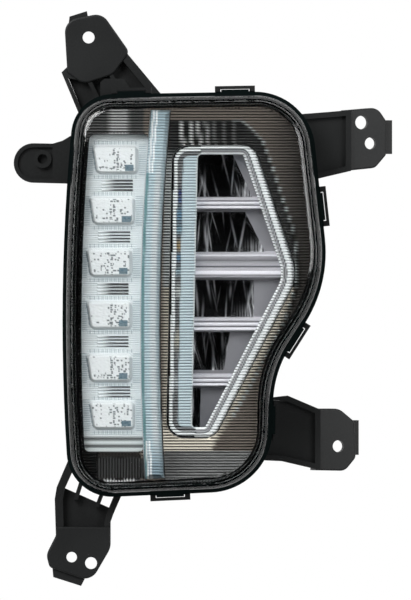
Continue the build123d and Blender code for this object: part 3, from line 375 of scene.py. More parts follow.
def smooth(low, high, value):
    share = np.clip((value - low) / (high - low), 0, 1)
    return share * share * (3 - 2 * share)


def reeds(position, pitch, height):
    # rounded ridges that meet in sharp valleys
    return height * np.abs(np.sin(math.pi * position / pitch))


def grey(value, tint=(1.0, 1.0, 1.0)):
    return np.array(tint) * value


def shaded(count, colour):
    return np.tile(np.asarray(colour, float), (count, 1))


def paintWhere(paint, where, colour):
    # lays a colour over the points where the mask is 1
    share = np.asarray(where, float)[:, None]
    return paint * (1 - share) + np.asarray(colour) * share


def band(value, low, high, soft=0.15):
    return smooth(low - soft, low + soft, value) * (1 - smooth(high - soft, high + soft, value))


# reeded bezel
bezel = {
    "pitch": 1.57, "height": 0.46, "face": 10.9, "rollWidth": 3.2, "rollDrop": 3.4, "back": 5.5, "skirt": 1.2,
    "slope": 0.32, "slopeDrop": 4.6, "turn": 0.10, "turnFrom": 26.0, "column": 1.8,
    "rimRings": [0.35, 0.65, 1.0, 1.35, 1.7, 2.0, 2.35, 2.8, 3.3],
    "beadRows": [(0.35, 1.0), (1.7, 2.35)],
    # edge of the sloping inner area around the driving light
    "crease": [(-16.5, 95.7), (25.3, 95.7), (30.0, 91.8), (37.0, 85.0), (41.3, 74.0), (48.4, 52.0),
               (54.0, 36.0), (56.2, 22.0), (55.5, 5.5), (49.5, -14.0), (41.3, -30.3), (27.5, -55.0),
               (19.1, -69.7), (10.6, -82.8), (8.7, -85.5), (-18.0, -85.5)],
    # below the column the reeds stand upright
    "upright": {"u": (-54.0, -26.5), "v": (-101.5, -88.5)},
    # place and tone of the painted glint columns, bright painted highlights above the driving light
    "glintColumns": [(-6.9, 0.8), (-2.0, 0.75), (2.4, 0.7), (6.6, 0.45), (11.0, 0.22), (16.0, 0.18),
                     (21.5, 0.16)],
    "glint": {"lean": 0.10, "from": 88, "half": 0.9, "v": (80.5, 95.0)},
    # painted reflection colours for the reed crests, and the near-black of the valleys between them
    "brownReflection": (0.20, 0.172, 0.150), "valley": (0.022, 0.019, 0.017), "beigeReflection": (0.70, 0.64, 0.54),
    # per-area tones of the painted crest reflections: darker to the right, on the left and inside the crease,
    # a painted highlight band above the cells, and brighter painted teeth
    "rightSide": {"fade": (30, 60), "shade": 0.07, "tint": (1.0, 0.93, 0.88)},
    "aboveCells": {"right": -28, "low": 84, "shade": 0.10, "lit": (-47, -36.5), "litShade": 0.46,
                   "valley": 0.006},
    "below": {"left": -17, "top": -85.5, "shade": 0.26, "fade": (-17, 5), "valley": 0.045},
    "inner": {"shade": 0.035, "valley": 0.004},
    "teeth": {"right": -9, "fade": (70, 82), "shade": 0.36, "tint": (0.95, 1.0, 1.0)},
    "guideEdge": {"top": 4, "fade": (1.5, 5.5), "share": 0.6},
    "stripes": {"top": -73.5, "fade": (8, 14), "valley": 0.05, "tint": (1.0, 0.9, 0.8)},
    "creaseHighlight": {"reach": (-1, 0.5), "left": 20, "shade": 0.45, "tint": (0.92, 1.0, 1.0)},
    "leftSide": {"right": -53, "valley": 0.003, "upright": 0.05, "cellsRight": -30, "cells": 0.008},
    "dottedRows": [(-102.6, -101.8), (-104.4, -103.6)], "dottedSpan": (-50, -27), "dottedShade": 0.75,
    "rimBlack": {"fade": (2.6, 3.1), "shade": 0.004}, "beadShade": 0.85,
    "edgeStep": 0.45, "sharp": 70, "guideHoleU": 20,
}


def makeBezel():
    loops = nodeLoops("reeded_bezel", 9.0)
    loops[0] = grown(loops[0], bezel["skirt"])
    crease = np.array(bezel["crease"])
    upright = bezel["upright"]
    frameHole = min(loops[1:], key=lambda loop: abs(loop[:, 0].mean() - bezel["guideHoleU"]))

    def isUpright(points):
        u, v = points[:, 0], points[:, 1]
        left, right = upright["u"]
        bottom, top = upright["v"]
        return (u > left) & (u < right) & (v > bottom) & (v < top)

    low, high = loops[0].min(axis=0), loops[0].max(axis=0)
    grid = gridPoints(low, high, bezel["column"], bezel["pitch"] / 6)
    grid = grid[~isUpright(grid)]
    grid = grid[lineDistance(grid, loops[0]) > bezel["rimRings"][-1] + 0.3]
    corners = list(zip(upright["u"], upright["v"]))
    fine = gridPoints(corners[0], corners[1], bezel["pitch"] / 6, 2.0)
    rings = [densify(grown(loops[0], -inset), bezel["edgeStep"]) for inset in bezel["rimRings"]]
    grid = np.vstack([grid, fine] + rings)

    def surfaceAt(points, edge):
        u, v = points[:, 0], points[:, 1]
        rim = lineDistance(points, loops[0])
        inside = insideLoops(points, [crease])
        reach = lineDistance(points, crease)
        standing = isUpright(points)
        depth = bezel["face"] - bezel["rollDrop"] * (1 - smooth(0, bezel["rollWidth"], rim)) ** 1.5
        depth = depth - np.where(inside, np.minimum(bezel["slope"] * reach, bezel["slopeDrop"]), 0)
        depth = depth - np.where(inside, 0, bezel["turn"] * np.clip(u - bezel["turnFrom"], 0, None))
        wave = np.where(standing, u, v)
        depth = depth + reeds(wave, bezel["pitch"], bezel["height"])
        ridge = smooth(0.40, 0.95, np.abs(np.sin(math.pi * wave / bezel["pitch"])))

        # crest colours are painted reflections, set area by area over the near-black valleys
        crest = shaded(len(points), bezel["brownReflection"])
        valley = shaded(len(points), bezel["valley"])
        area = bezel["rightSide"]
        crest = paintWhere(crest, ~inside * smooth(*area["fade"], u), grey(area["shade"], area["tint"]))
        area = bezel["aboveCells"]
        aboveCells = (u < area["right"]) & (v > area["low"])
        crest = paintWhere(crest, aboveCells, grey(area["shade"]))
        crest = paintWhere(crest, aboveCells * band(u, *area["lit"], 0.8), grey(area["litShade"]))
        valley = paintWhere(valley, aboveCells, grey(area["valley"]))
        area = bezel["below"]
        below = (v < area["top"]) & (u > area["left"])
        dimmer = 0.55 + 0.45 * smooth(*area["fade"], u)
        crest = paintWhere(crest, below, grey(area["shade"]) * dimmer[:, None])
        valley = paintWhere(valley, below, grey(area["valley"]))
        crest = paintWhere(crest, inside, grey(bezel["inner"]["shade"]))
        valley = paintWhere(valley, inside, grey(bezel["inner"]["valley"]))
        area = bezel["glint"]
        for centre, strength in bezel["glintColumns"]:
            leaning = u + area["lean"] * (v - area["from"]) - centre
            glint = band(leaning, -area["half"], area["half"], 0.4) * band(v, *area["v"], 0.8)
            crest = paintWhere(crest, inside * glint, grey(strength))
        area = bezel["teeth"]
        teeth = inside * (u < area["right"]) * (1 - smooth(*area["fade"], v))
        crest = paintWhere(crest, teeth, grey(area["shade"], area["tint"]))
        area = bezel["guideEdge"]
        toGuide = lineDistance(points, frameHole)
        lowerRight = inside * (v < area["top"]) * (1 - smooth(*area["fade"], toGuide))
        crest = paintWhere(crest, lowerRight, np.array(bezel["beigeReflection"]) * area["share"])
        area = bezel["stripes"]
        stripes = inside * (v < area["top"]) * (1 - smooth(*area["fade"], u))
        crest = paintWhere(crest, stripes, bezel["beigeReflection"])
        valley = paintWhere(valley, stripes, grey(area["valley"], area["tint"]))
        # painted highlight along the crease
        area = bezel["creaseHighlight"]
        line = band(reach, *area["reach"], 0.3) * (u > area["left"])
        crest = paintWhere(crest, line, grey(area["shade"], area["tint"]))
        area = bezel["leftSide"]
        crest = paintWhere(crest, standing, grey(area["upright"]))
        valley = paintWhere(valley, standing | (u < area["right"]), grey(area["valley"]))
        besideCells = (u < area["cellsRight"]) & (v < bezel["aboveCells"]["low"]) & ~standing
        crest = paintWhere(crest, besideCells, grey(area["cells"]))
        paint = valley + (crest - valley) * ridge[:, None]

        # painted highlights: dotted rows below the upright reeds, and two beaded rows along the rim
        dotted = smooth(0.35, 0.8, np.abs(np.sin(math.pi * u / bezel["pitch"])))
        rows = np.max([band(v, *row, 0.15) for row in bezel["dottedRows"]], axis=0)
        rows = rows * band(u, *bezel["dottedSpan"], 1.0)
        paint = paintWhere(paint, rows * dotted, grey(bezel["dottedShade"]))
        area = bezel["rimBlack"]
        paint = paintWhere(paint, 1 - smooth(*area["fade"], rim), grey(area["shade"]))
        along = np.where(u < 0, u + v, u - v)
        beads = smooth(0.3, 0.75, np.abs(np.sin(math.pi * along / bezel["pitch"])))
        for number, (near, far) in enumerate(bezel["beadRows"]):
            strength = np.where(u < 10, 0.50, 0.42 * number)
            row = band(rim, near, far, 0.12) * beads * strength
            paint = paintWhere(paint, row, grey(bezel["beadShade"], (0.95, 1.0, 1.0)))
        return depth, paint

    mesh = reliefPiece("reededBezel", loops, grid, surfaceAt, bezel["back"], bezel["edgeStep"], bezel["sharp"])
    addPiece("reededBezel", mesh, "glossBlackPaintedSheen", "gloss_black", "reeded_bezel")


# clear blade beside the column
blade = {"pitch": 1.57, "height": 0.5, "face": 13.2, "bevel": 2.6, "bevelDrop": 3.0, "back": 3.0,
         "colour": (0.50, 0.62, 0.67), "teal": (0.13, 0.27, 0.28), "tealTop": 67,
         "tealAcross": (0.2, 1.7),
         "shine": {"across": (5.0, 8.5), "v": (-85, 70), "shade": 0.68, "tint": (0.94, 1.0, 1.02)},
         "top": {"fade": (78, 100), "colour": (0.36, 0.46, 0.50)},
         "foot": {"fade": (-100, -78), "colour": (0.25, 0.33, 0.38)},
         "whiteLines": [(1.2, 2.0), (3.0, 3.8)], "whiteShade": 0.92, "footLines": -80,
         "edgeStep": 0.4, "sharp": 50}


def makeBlade():
    loops = nodeLoops("light_blade", 3.0)[:1]
    low, high = loops[0].min(axis=0), loops[0].max(axis=0)
    grid = gridPoints(low, high, 0.8, blade["pitch"] / 8)

    def surfaceAt(points, edge):
        u, v = points[:, 0], points[:, 1]
        bevel = 1 - smooth(0, blade["bevel"], edge)
        ribs = reeds(v, blade["pitch"], blade["height"]) * (1 - bevel)
        depth = blade["face"] - blade["bevelDrop"] * bevel + ribs
        ridge = smooth(0.15, 0.6, np.abs(np.sin(math.pi * v / blade["pitch"])))
        # distance across the blade from its left edge
        leftHalf = loops[0][loops[0][:, 0] < loops[0][:, 0].mean()]
        leftLine = np.array(sorted(leftHalf.tolist(), key=lambda point: point[1]))
        across = u - np.interp(v, leftLine[:, 1], leftLine[:, 0])
        crest = shaded(len(points), blade["colour"])
        # a painted highlight band (shine) along the blade; the colour is darker towards the top and the foot
        shine = blade["shine"]
        lit = band(across, *shine["across"], 1.2) * band(v, *shine["v"], 12)
        crest = paintWhere(crest, lit, grey(shine["shade"], shine["tint"]))
        crest = paintWhere(crest, smooth(*blade["top"]["fade"], v), blade["top"]["colour"])
        crest = paintWhere(crest, 1 - smooth(*blade["foot"]["fade"], v), blade["foot"]["colour"])
        # rib valleys painted darker than the crests: painted shade
        paint = crest * (0.34 + 0.66 * ridge[:, None])
        tealLine = band(across, *blade["tealAcross"], 0.3) * (v < blade["tealTop"])
        paint = paintWhere(paint, tealLine, blade["teal"])
        lines = np.max([band(across, *line, 0.2) for line in blade["whiteLines"]], axis=0)
        ends = (v > blade["tealTop"]) | (v < blade["footLines"])
        paint = paintWhere(paint, lines * ends, grey(blade["whiteShade"]))
        rightEdge = (1 - smooth(0.2, 0.6, edge)) * (across > shine["across"][0])
        paint = paintWhere(paint, rightEdge, grey(0.25, (0.9, 1.0, 1.05)))
        return depth, paint

    mesh = reliefPiece("lightBlade", loops, grid, surfaceAt, blade["back"], blade["edgeStep"], blade["sharp"])
    addPiece("lightBlade", mesh, "guideClear", "clear_guide", "light_blade")


# ribbed light guide around the driving light
guide = {"pitch": 1.57, "height": 0.55, "face": 8.2, "step": 1.8, "stepAt": 3.2, "groove": (3.2, 5.6),
         "grooveDrop": 2.5, "back": -4.0, "edgeStep": 0.4, "sharp": 50, "leftSide": 3.2,
         "bar": (0.58, 0.68, 0.72), "white": (0.93, 0.95, 0.95),
         # small painted coloured glints: height, reach and colour
         "paintedGlints": [(56.0, 2.0, (0.06, 0.09, 0.28)), (52.0, 1.5, (0.10, 0.18, 0.40)),
                   (44.0, 4.0, (0.22, 0.42, 0.58)), (36.0, 2.5, (0.30, 0.50, 0.60)),
                   (27.0, 2.6, (0.62, 0.45, 0.22)), (20.5, 2.0, (0.20, 0.42, 0.62)),
                   (13.0, 2.2, (0.40, 0.55, 0.60)), (2.0, 3.5, (0.72, 0.74, 0.70)),
                   (-24.0, 5.0, (0.66, 0.62, 0.52)), (-48.0, 4.0, (0.70, 0.72, 0.72))]}


def makeGuide():
    loops = nodeLoops("light_frame", -4.0)[:2]
    low, high = loops[0].min(axis=0), loops[0].max(axis=0)
    grid = gridPoints(low, high, 0.7, guide["pitch"] / 8)

    def surfaceAt(points, edge):
        u, v = points[:, 0], points[:, 1]
        inner = lineDistance(points, loops[1])
        outer = lineDistance(points, loops[0])
        onLeft = u < guide["leftSide"] - 0.021 * (70 - v)
        wave = np.abs(np.sin(math.pi * v / guide["pitch"]))
        ribs = guide["height"] * wave
        grooveNear, grooveFar = guide["groove"]
        groove = onLeft & (outer > grooveNear) & (outer < grooveFar)
        low = ~onLeft & (inner < guide["stepAt"])
        depth = guide["face"] + np.where(low, 0, ribs)
        depth = depth - np.where(groove, guide["grooveDrop"], 0) - np.where(low, guide["step"], 0)
        depth = depth - 0.8 * (1 - smooth(0, 0.9, edge))

        ridge = smooth(0.25, 0.75, wave)
        # left bar, from its outer edge in: dotted white strip, dark teeth with painted coloured glints, ribbed
        # bar; on every band the rib valleys are painted darker than the crests, as painted shade
        left = shaded(len(points), guide["bar"]) * (0.35 + 0.65 * ridge[:, None])
        strip = shaded(len(points), guide["white"]) * ridge[:, None]
        left = paintWhere(left, band(outer, 0.9, grooveNear, 0.15), strip)
        teeth = grey(0.30) * ridge[:, None] ** 2
        for at, reach, colour in guide["paintedGlints"]:
            near = np.exp(-((v - at) / reach) ** 2) * 0.8
            teeth = paintWhere(teeth, near, np.array(colour) * ridge[:, None])
        left = paintWhere(left, band(outer, grooveNear, grooveFar, 0.15), teeth)
        left = paintWhere(left, outer < 0.9, grey(0.02))
        left = paintWhere(left, band(inner, 0.0, 0.7, 0.15), grey(0.75, (0.95, 1.0, 1.0)))
        # right bars, from the outside in: serrated white with painted shade in the rib valleys, grey band
        # between fine lines, dotted edge
        right = shaded(len(points), guide["white"]) * (0.55 + 0.45 * ridge[:, None])
        right = paintWhere(right, (outer < 1.3) * (1 - ridge), grey(0.01))
        right = paintWhere(right, band(inner, 1.0, 3.0, 0.15), grey(0.40, (1.0, 1.0, 1.03)))
        right = paintWhere(right, band(inner, 2.8, 3.3, 0.12), grey(0.08))
        right = paintWhere(right, band(inner, 1.7, 2.1, 0.1), grey(0.12))
        right = paintWhere(right, inner < 0.8, strip)
        return depth, np.where(onLeft[:, None], left, right)

    mesh = reliefPiece("lightGuide", loops, grid, surfaceAt, guide["back"], guide["edgeStep"], guide["sharp"])
    addPiece("lightGuide", mesh, "guideClear", "clear_guide", "light_frame")


# inner lens of the daytime running column
column = {
    "cells": [(-43.4, 74.2), (-45.1, 46.2), (-46.7, 17.6), (-46.7, -11.0), (-46.7, -40.1), (-45.1, -66.0)],
    "half": (12.4, 8.2), "corner": 3.2, "pillow": 9.7, "edge": 1.9, "slant": 0.16, "face": 5.0, "back": 3.0,
    "ribPitch": 1.2, "ribHeight": 0.3, "dividers": 4, "dividerPitch": 1.75, "dividerHalf": 8.6,
    "dividerHeight": 1.1, "dividerShift": 1.6, "facet": (1.9, 1.15), "facetTilt": 0.22,
    "white": (0.86, 0.88, 0.885), "margin": (0.80, 0.84, 0.85), "line": (0.26, 0.34, 0.38),
    "spot": (0.10, 0.17, 0.21), "speck": (0.05, 0.07, 0.08),
    # the crossing rows of specks, the dark spot and the ribbed borders, from each cell's centre
    "crossU": 1.2, "crossV": -4.2, "spotAt": (7.4, -4.5), "spotHalf": (2.5, 1.7),
    "sideRibs": (12.6, 16.8), "levelRibs": (8.4, 10.4), "ribReach": (12.4, 8.6), "footTop": -77.5,
}


def makeColumn():
    loops = nodeLoops("drl_inner_lens", 3.0)[:1]
    low, high = loops[0].min(axis=0), loops[0].max(axis=0)
    grid = gridPoints(low, high, 0.475, 0.29)
    cells = column["cells"]
    dice = np.random.default_rng(11)
    tilts = dice.uniform(-1, 1, (len(cells), 20, 20, 2))
    chance = dice.random((len(cells), 20, 20))

    def surfaceAt(points, edge):
        u, v = points[:, 0], points[:, 1]
        depth = np.full(len(points), column["face"])
        wave = np.abs(np.sin(math.pi * v / column["ribPitch"]))
        paint = shaded(len(points), column["white"])
        pillow = np.zeros(len(points))
        stepU, stepV = column["facet"]
        for number, (centreU, centreV) in enumerate(cells):
            du, dv = u - centreU, v - centreV
            across = du + column["slant"] * dv * (du < 0)
            reachU = np.abs(across) - column["half"][0] + column["corner"]
            reachV = np.abs(dv) - column["half"][1] + column["corner"]
            gap = np.hypot(np.maximum(reachU, 0), np.maximum(reachV, 0))
            gap = gap + np.minimum(np.maximum(reachU, reachV), 0)
            inward = column["corner"] - gap
            raised = smooth(0, column["edge"], inward)
            pillow = np.maximum(pillow, raised)
            # small facets on the pillow, each with its own tilt, and dark specks between some of them
            onTop = inward > column["edge"]
            cellU, cellV = np.floor(du / stepU).astype(int), np.floor(dv / stepV).astype(int)
            pickU, pickV = np.clip(cellU + 10, 0, 19), np.clip(cellV + 10, 0, 19)
            partU, partV = du / stepU - cellU - 0.5, dv / stepV - cellV - 0.5
            tilt = tilts[number, pickU, pickV]
            offU, offV = partU + 0.3 * tilt[:, 0], partV + 0.25 * tilt[:, 1]
            depth = depth + onTop * column["facetTilt"] * (tilt[:, 0] * partU + tilt[:, 1] * partV)
            dark = chance[number, pickU, pickV]
            cross = (np.abs(du - column["crossU"]) < 1.0) | (np.abs(dv - column["crossV"]) < 0.7)
            busy = 0.13 + 0.26 * (du > -2.5) + 0.42 * cross
            speck = onTop & (dark < busy) & (np.abs(offV) < 0.42) & (np.abs(offU) < 0.16 + 0.5 * dark)
            paint = paintWhere(paint, speck * 0.8, column["speck"])
            (spotU, spotV), (spotWide, spotHigh) = column["spotAt"], column["spotHalf"]
            spot = (np.abs(du - spotU) < spotWide) & (np.abs(dv - spotV) < spotHigh) & onTop
            paint = paintWhere(paint, spot * 0.9, column["spot"])
            halfU, halfV = column["half"]
            leftLine = band(across, -halfU - 0.1, -halfU + 0.9, 0.2) * (np.abs(dv) < 7.0)
            paint = paintWhere(paint, leftLine * 0.8, column["line"])
            below = band(dv, -halfV - 0.2, -halfV + 0.5, 0.15) * (np.abs(du) < 11.5)
            paint = paintWhere(paint, below * 0.45, column["line"])
        depth = depth + (column["pillow"] - column["face"]) * pillow
        divider = np.zeros(len(points))
        for above, under in zip(cells, cells[1:]):
            midU, midV = (above[0] + under[0]) / 2 + column["dividerShift"], (above[1] + under[1]) / 2
            for index in range(column["dividers"]):
                lineV = midV + (index - (column["dividers"] - 1) / 2) * column["dividerPitch"]
                near = (np.abs(v - lineV) < 0.5) & (np.abs(u - midU) < column["dividerHalf"])
                divider = np.maximum(divider, near * np.sqrt(np.clip(1 - ((v - lineV) / 0.5) ** 2, 0, 1)))
                fade = smooth(-column["dividerHalf"], 0, u - midU)
                paint = paintWhere(paint, near * fade * 0.92, grey(0.02))
        depth = depth + column["dividerHeight"] * divider
        margin = (pillow < 0.02) & (divider < 0.02)
        depth = depth + np.where(margin, column["ribHeight"] * wave, 0)
        paint = paintWhere(paint, margin, column["margin"])
        across = np.abs(np.sin(math.pi * u / column["ribPitch"]))
        for centreU, centreV in cells:
            du, dv = np.abs(u - centreU), np.abs(v - centreV)
            beside = margin * band(du, *column["sideRibs"], 0.3) * (dv < column["ribReach"][1])
            level = margin * band(dv, *column["levelRibs"], 0.2) * (du < column["ribReach"][0])
            # rib valleys beside and between the cells painted dark: painted shade in the ribbed borders
            paint = paintWhere(paint, beside * (1 - smooth(0.2, 0.7, wave)) * 0.85, column["line"])
            paint = paintWhere(paint, level * (1 - smooth(0.2, 0.7, across)) * 0.7, column["line"])
        # smooth silver strip at the foot
        foot = v < column["footTop"]
        stripe = 0.55 + 0.4 * np.sin((v + 78) * 1.6)
        paint = np.where(foot[:, None], stripe[:, None] * np.array((0.80, 0.84, 0.84)), paint)
        return depth, paint

    mesh = reliefPiece("columnLens", loops, grid, surfaceAt, column["back"], 0.5, 40)
    addPiece("columnLens", mesh, "guideClear", "clear_guide", "drl_inner_lens")


# silver bezel: four fins and the flat panels around the cups
silver = {
    "face": -4.0, "back": -6.0, "rise": 5.5, "ridge": 0.7,
    # top and bottom of each fin
    "fins": [(53.9, 46.7), (23.7, 8.2), (-12.1, -20.4), (-43.4, -50.6)],
    "panel": (0.25, 0.245, 0.265), "bright": (0.74, 0.72, 0.77), "mid": (0.40, 0.39, 0.42),
    "hollow": (0.27, 0.265, 0.285), "shade": (0.22, 0.215, 0.23), "line": (0.07, 0.07, 0.08),
    "slot": {"u": (2.6, 19.2), "v": 75.7, "half": 1.35},
}


def makeSilver():
    loops = nodeLoops("silver_bezel", -6.0)
    low, high = loops[0].min(axis=0), loops[0].max(axis=0)
    grid = gridPoints(low, high, 1.5, 0.35)
    slot = silver["slot"]

    def surfaceAt(points, edge):
        u, v = points[:, 0], points[:, 1]
        depth = np.full(len(points), silver["face"])
        # the panel tone is painted lighter towards the right
        paint = shaded(len(points), silver["panel"]) * (0.75 + 0.35 * smooth(0, 30, u))[:, None]
        for top, bottom in silver["fins"]:
            share = (top - v) / (top - bottom)
            on = (share > -0.02) & (share < 1.02)
            wide = top - bottom > 10
            lift = smooth(0, 0.12, share) * (1 - smooth(0.88, 1, share))
            ridges = silver["ridge"] * np.abs(np.sin(3 * math.pi * share))
            depth = depth + np.where(on, silver["rise"] * lift + ridges, 0)
            # bands across each fin are painted light and shade on its curves: a bright lit face, a darker
            # hollow, a shaded band near the foot and dark lines
            fin = shaded(len(points), silver["bright"])
            if wide:
                fin = paintWhere(fin, band(share, 0.14, 0.52, 0.03), silver["mid"])
                fin = paintWhere(fin, band(share, 0.28, 0.42, 0.06), silver["hollow"])
                fin = paintWhere(fin, band(share, 0.50, 0.55, 0.02), silver["line"])
                fin = paintWhere(fin, band(share, 0.80, 0.86, 0.02), silver["shade"])
            else:
                fin = paintWhere(fin, band(share, 0.28, 0.36, 0.03), silver["line"])
                fin = paintWhere(fin, band(share, 0.60, 0.68, 0.03), silver["line"])
            fin = paintWhere(fin, band(share, 0.92, 1.05, 0.03), silver["mid"])
            paint = paintWhere(paint, on, fin)
        # the slot is a recess painted black, as painted shade
        inSlot = np.hypot(u - np.clip(u, *slot["u"]), v - slot["v"]) < slot["half"]
        depth = depth - inSlot * 1.6
        paint = paintWhere(paint, inSlot, grey(0.004))
        return depth, paint

    mesh = reliefPiece("silverBezel", loops, grid, surfaceAt, silver["back"] - 0.1, 0.6, 35)
    addPiece("silverBezel", mesh, "finSilver", "satin_silver", "silver_bezel")


# five mirrored cups of the driving light
cups = {"face": -6.0, "deep": 24.0, "back": -36.0, "flute": 2.3, "fluteDepth": 0.55, "flangeBack": -8.0,
        "reflectionStreaks": 16}


def makeCups():
    loops = nodeLoops("driving_reflector", -6.0)
    outer, mouths = loops[0], sorted(loops[1:6], key=lambda loop: -loop[:, 1].mean())
    flange = reliefPiece(
        "cupFlange", [outer] + mouths, np.empty((0, 2)),
        lambda points, edge: (np.full(len(points), cups["face"]), shaded(len(points), grey(0.3))),
        cups["flangeBack"], 1.0,
    )
    addPiece("cupFlange", flange, "cupMirror", "aluminised", "driving_reflector")
    for number, mouth in enumerate(mouths):
        low, high = mouth.min(axis=0), mouth.max(axis=0)
        middle, half = (low + high) / 2, (high - low) / 2 + 0.4
        grid = gridPoints(low, high, cups["flute"] / 7, 1.0)
        dice = random.Random(20 + number)
        reflectionStreaks = [
            (dice.uniform(-0.95, 0.95), dice.uniform(0.18, 0.6), dice.uniform(-0.35, 0.25),
             dice.uniform(0.25, 1.4), dice.uniform(-0.9, 0.9), dice.uniform(0.25, 0.8))
            for _ in range(cups["reflectionStreaks"])
        ]

        def surfaceAt(points, edge):
            across = (points - middle) / half
            bowl = np.clip((1 - across[:, 0] ** 2) * (1 - across[:, 1] ** 2), 0, 1) ** 0.6
            flutes = reeds(points[:, 0] + 0.12 * points[:, 1], cups["flute"], cups["fluteDepth"])
            depth = cups["face"] - smooth(0, 2.5, edge) * (cups["deep"] * bowl + flutes) - 0.01
            # painted reflections on the mirror: bright streaks and a bright cluster at the lower right, over
            # near-black
            light = np.full(len(points), 0.012)
            for centre, width, lean, strength, height, length in reflectionStreaks:
                offset = (across[:, 0] - centre) * half[0] - lean * (points[:, 1] - middle[1])
                fall = np.exp(-((across[:, 1] - height) / length) ** 2)
                light += strength * np.exp(-(offset / width) ** 2) * fall
            corner = smooth(0.1, 0.9, across[:, 0]) * smooth(0.1, 0.9, -across[:, 1])
            light += corner * 0.55 * np.abs(np.sin(2.1 * points[:, 0])) ** 2
            return depth, light[:, None] * np.array((0.97, 0.97, 1.0))

        mesh = reliefPiece(f"cup{number + 1}", [mouth], grid, surfaceAt, cups["back"], 0.5, 30)
        addPiece(f"cup{number + 1}", mesh, "cupMirror", "aluminised")


# outer lens: the clear crown; its edge and side wall, over the black rim, are painted black to stand in for
# the dark seen through the clear edge
crown = {"sideNormal": 0.38, "rimDepth": 3.0}


def makeLens():
    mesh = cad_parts["outer_lens"].data.copy()
    mesh.name = "lensCover"
    mesh.materials.clear()
    piece = addPiece("lensCover", mesh, "lensClear", "lens", "outer_lens")
    mesh.materials.append(materials["rimBlack"])
    for polygon in mesh.polygons:
        depth = (lensAt["partingY"] - polygon.center.y) / mm
        if abs(polygon.normal.y) < crown["sideNormal"] or depth < crown["rimDepth"]:
            polygon.material_index = 1
    return piece


makeBezel()
makeBlade()
makeGuide()
makeColumn()
makeSilver()
makeCups()
makeLens()

# studio: pale floor, white surround, soft lamps, and dark cards for the gloss to mirror
studio = {
    "floorZ": -0.46, "floorRadius": 4.0, "floorColour": (0.82, 0.82, 0.82),
    "ambient": 0.45,
    # name, place, aim, width, height, watts
    "lamps": [
        ("keyLamp", (-1.6, -2.6, 1.6), (0.06, -0.03, -0.14), 1.6, 1.6, 70.0),
        ("fillLamp", (2.2, -2.4, 0.6), (0.06, -0.03, -0.14), 1.4, 1.8, 33.0),
        ("topLamp", (0.1, -0.4, 2.4), (0.06, -0.03, -0.14), 1.8, 1.2, 25.0),
    ],
    # name, centre, width, height, tilt about X and turn about Z in degrees
    "cards": [
        ("frontCard", (0.0, -3.0, 0.2), 9.0, 4.6, 90.0, 0.0),
        ("highCard", (0.0, -1.6, 2.9), 7.0, 1.8, 30.0, 0.0),
        ("leftCard", (-2.6, -1.6, -0.1), 3.4, 4.0, 90.0, 90.0),
        ("rightCard", (2.8, -1.6, -0.1), 3.4, 4.0, 90.0, 90.0),
        ("topCard", (0.0, -1.5, 2.0), 5.4, 3.4, 0.0, 0.0),
        ("lowCard", (0.0, -1.5, -0.44), 5.4, 3.0, 0.0, 0.0),
    ],
    "cardColour": (0.01, 0.01, 0.01),
}


def stageMaterial(name, colour):
    material = bpy.data.materials.new(name)
    material.use_nodes = True
    shader = material.node_tree.nodes["Principled BSDF"]
    shader.inputs["Base Color"].default_value = (*colour, 1)
    shader.inputs["Roughness"].default_value = 0.9
    shader.inputs["Specular IOR Level"].default_value = 0.0
    return material


def addObject(name, mesh):
    obj = bpy.data.objects.new(name, mesh)
    bpy.context.scene.collection.objects.link(obj)
    return obj


def makeFloor():
    mesh = bpy.data.meshes.new("floor")
    shape = bmesh.new()
    bmesh.ops.create_circle(shape, cap_ends=True, segments=96, radius=studio["floorRadius"])
    shape.to_mesh(mesh)
    shape.free()
    floor = addObject("floor", mesh)
    floor.location = (0, 0, studio["floorZ"])
    mesh.materials.append(stageMaterial("floorPale", studio["floorColour"]))


def makeCards():
    black = stageMaterial("cardBlack", studio["cardColour"])
    for name, centre, width, height, tilt, turn in studio["cards"]:
        mesh = bpy.data.meshes.new(name)
        half = (width / 2, height / 2)
        corners = [(x * half[0], y * half[1], 0) for x, y in ((-1, -1), (1, -1), (1, 1), (-1, 1))]
        mesh.from_pydata(corners, [], [(0, 1, 2, 3)])
        card = addObject(name, mesh)
        card.location = centre
        card.rotation_euler = (math.radians(tilt), 0, math.radians(turn))
        mesh.materials.append(black)
        card.visible_camera = False
        card.visible_diffuse = False
        card.visible_shadow = False


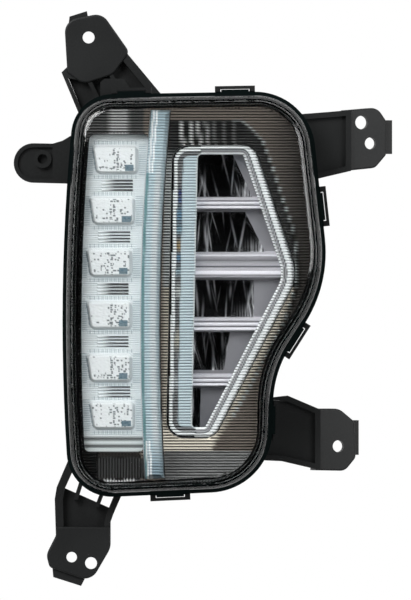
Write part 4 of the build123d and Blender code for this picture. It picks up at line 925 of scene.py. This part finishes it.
def makeLamps():
    for name, at, aim, width, height, watts in studio["lamps"]:
        data = bpy.data.lights.new(name, "AREA")
        data.shape = "RECTANGLE"
        data.size = width
        data.size_y = height
        data.energy = watts
        lamp = addObject(name, data)
        lamp.location = at
        lamp.rotation_euler = (Vector(aim) - Vector(at)).to_track_quat("-Z", "Y").to_euler()
        lamp.visible_camera = False


def makeWorld():
    world = bpy.data.worlds.new("studioWhite")
    bpy.context.scene.world = world
    world.use_nodes = True
    tree = world.node_tree
    tree.nodes.clear()
    path = addNode(tree, "ShaderNodeLightPath", (-600, 200))
    seen = addNode(tree, "ShaderNodeMath", (-400, 200), operation="MAXIMUM")
    tree.links.new(path.outputs["Is Camera Ray"], seen.inputs[0])
    tree.links.new(path.outputs["Is Glossy Ray"], seen.inputs[1])
    bright = addNode(tree, "ShaderNodeMath", (-200, 200), operation="MAXIMUM")
    tree.links.new(seen.outputs[0], bright.inputs[0])
    tree.links.new(path.outputs["Is Transmission Ray"], bright.inputs[1])
    white = addNode(tree, "ShaderNodeBackground", (0, 100))
    white.inputs["Color"].default_value = (1, 1, 1, 1)
    white.inputs["Strength"].default_value = 1.0
    ambient = addNode(tree, "ShaderNodeBackground", (0, -100))
    ambient.inputs["Color"].default_value = (1, 1, 1, 1)
    ambient.inputs["Strength"].default_value = studio["ambient"]
    mix = addNode(tree, "ShaderNodeMixShader", (250, 0))
    out = addNode(tree, "ShaderNodeOutputWorld", (450, 0))
    tree.links.new(bright.outputs[0], mix.inputs["Fac"])
    tree.links.new(ambient.outputs[0], mix.inputs[1])
    tree.links.new(white.outputs[0], mix.inputs[2])
    tree.links.new(mix.outputs[0], out.inputs["Surface"])


def makeCamera():
    view = {"distance": 6.0, "frameHeight": 0.330, "x": 0.064625, "z": -0.14515}
    data = bpy.data.cameras.new("camera")
    data.sensor_width = 36.0
    data.lens = data.sensor_width * view["distance"] / view["frameHeight"]
    data.clip_end = 60.0
    camera = addObject("camera", data)
    camera.location = (view["x"], lensAt["partingY"] - view["distance"], view["z"])
    camera.rotation_euler = (math.radians(90), 0, 0)
    bpy.context.scene.camera = camera


bpy.context.scene.view_settings.view_transform = "Standard"
makeFloor()
makeCards()
makeLamps()
makeWorld()
makeCamera()
print("studio ready")
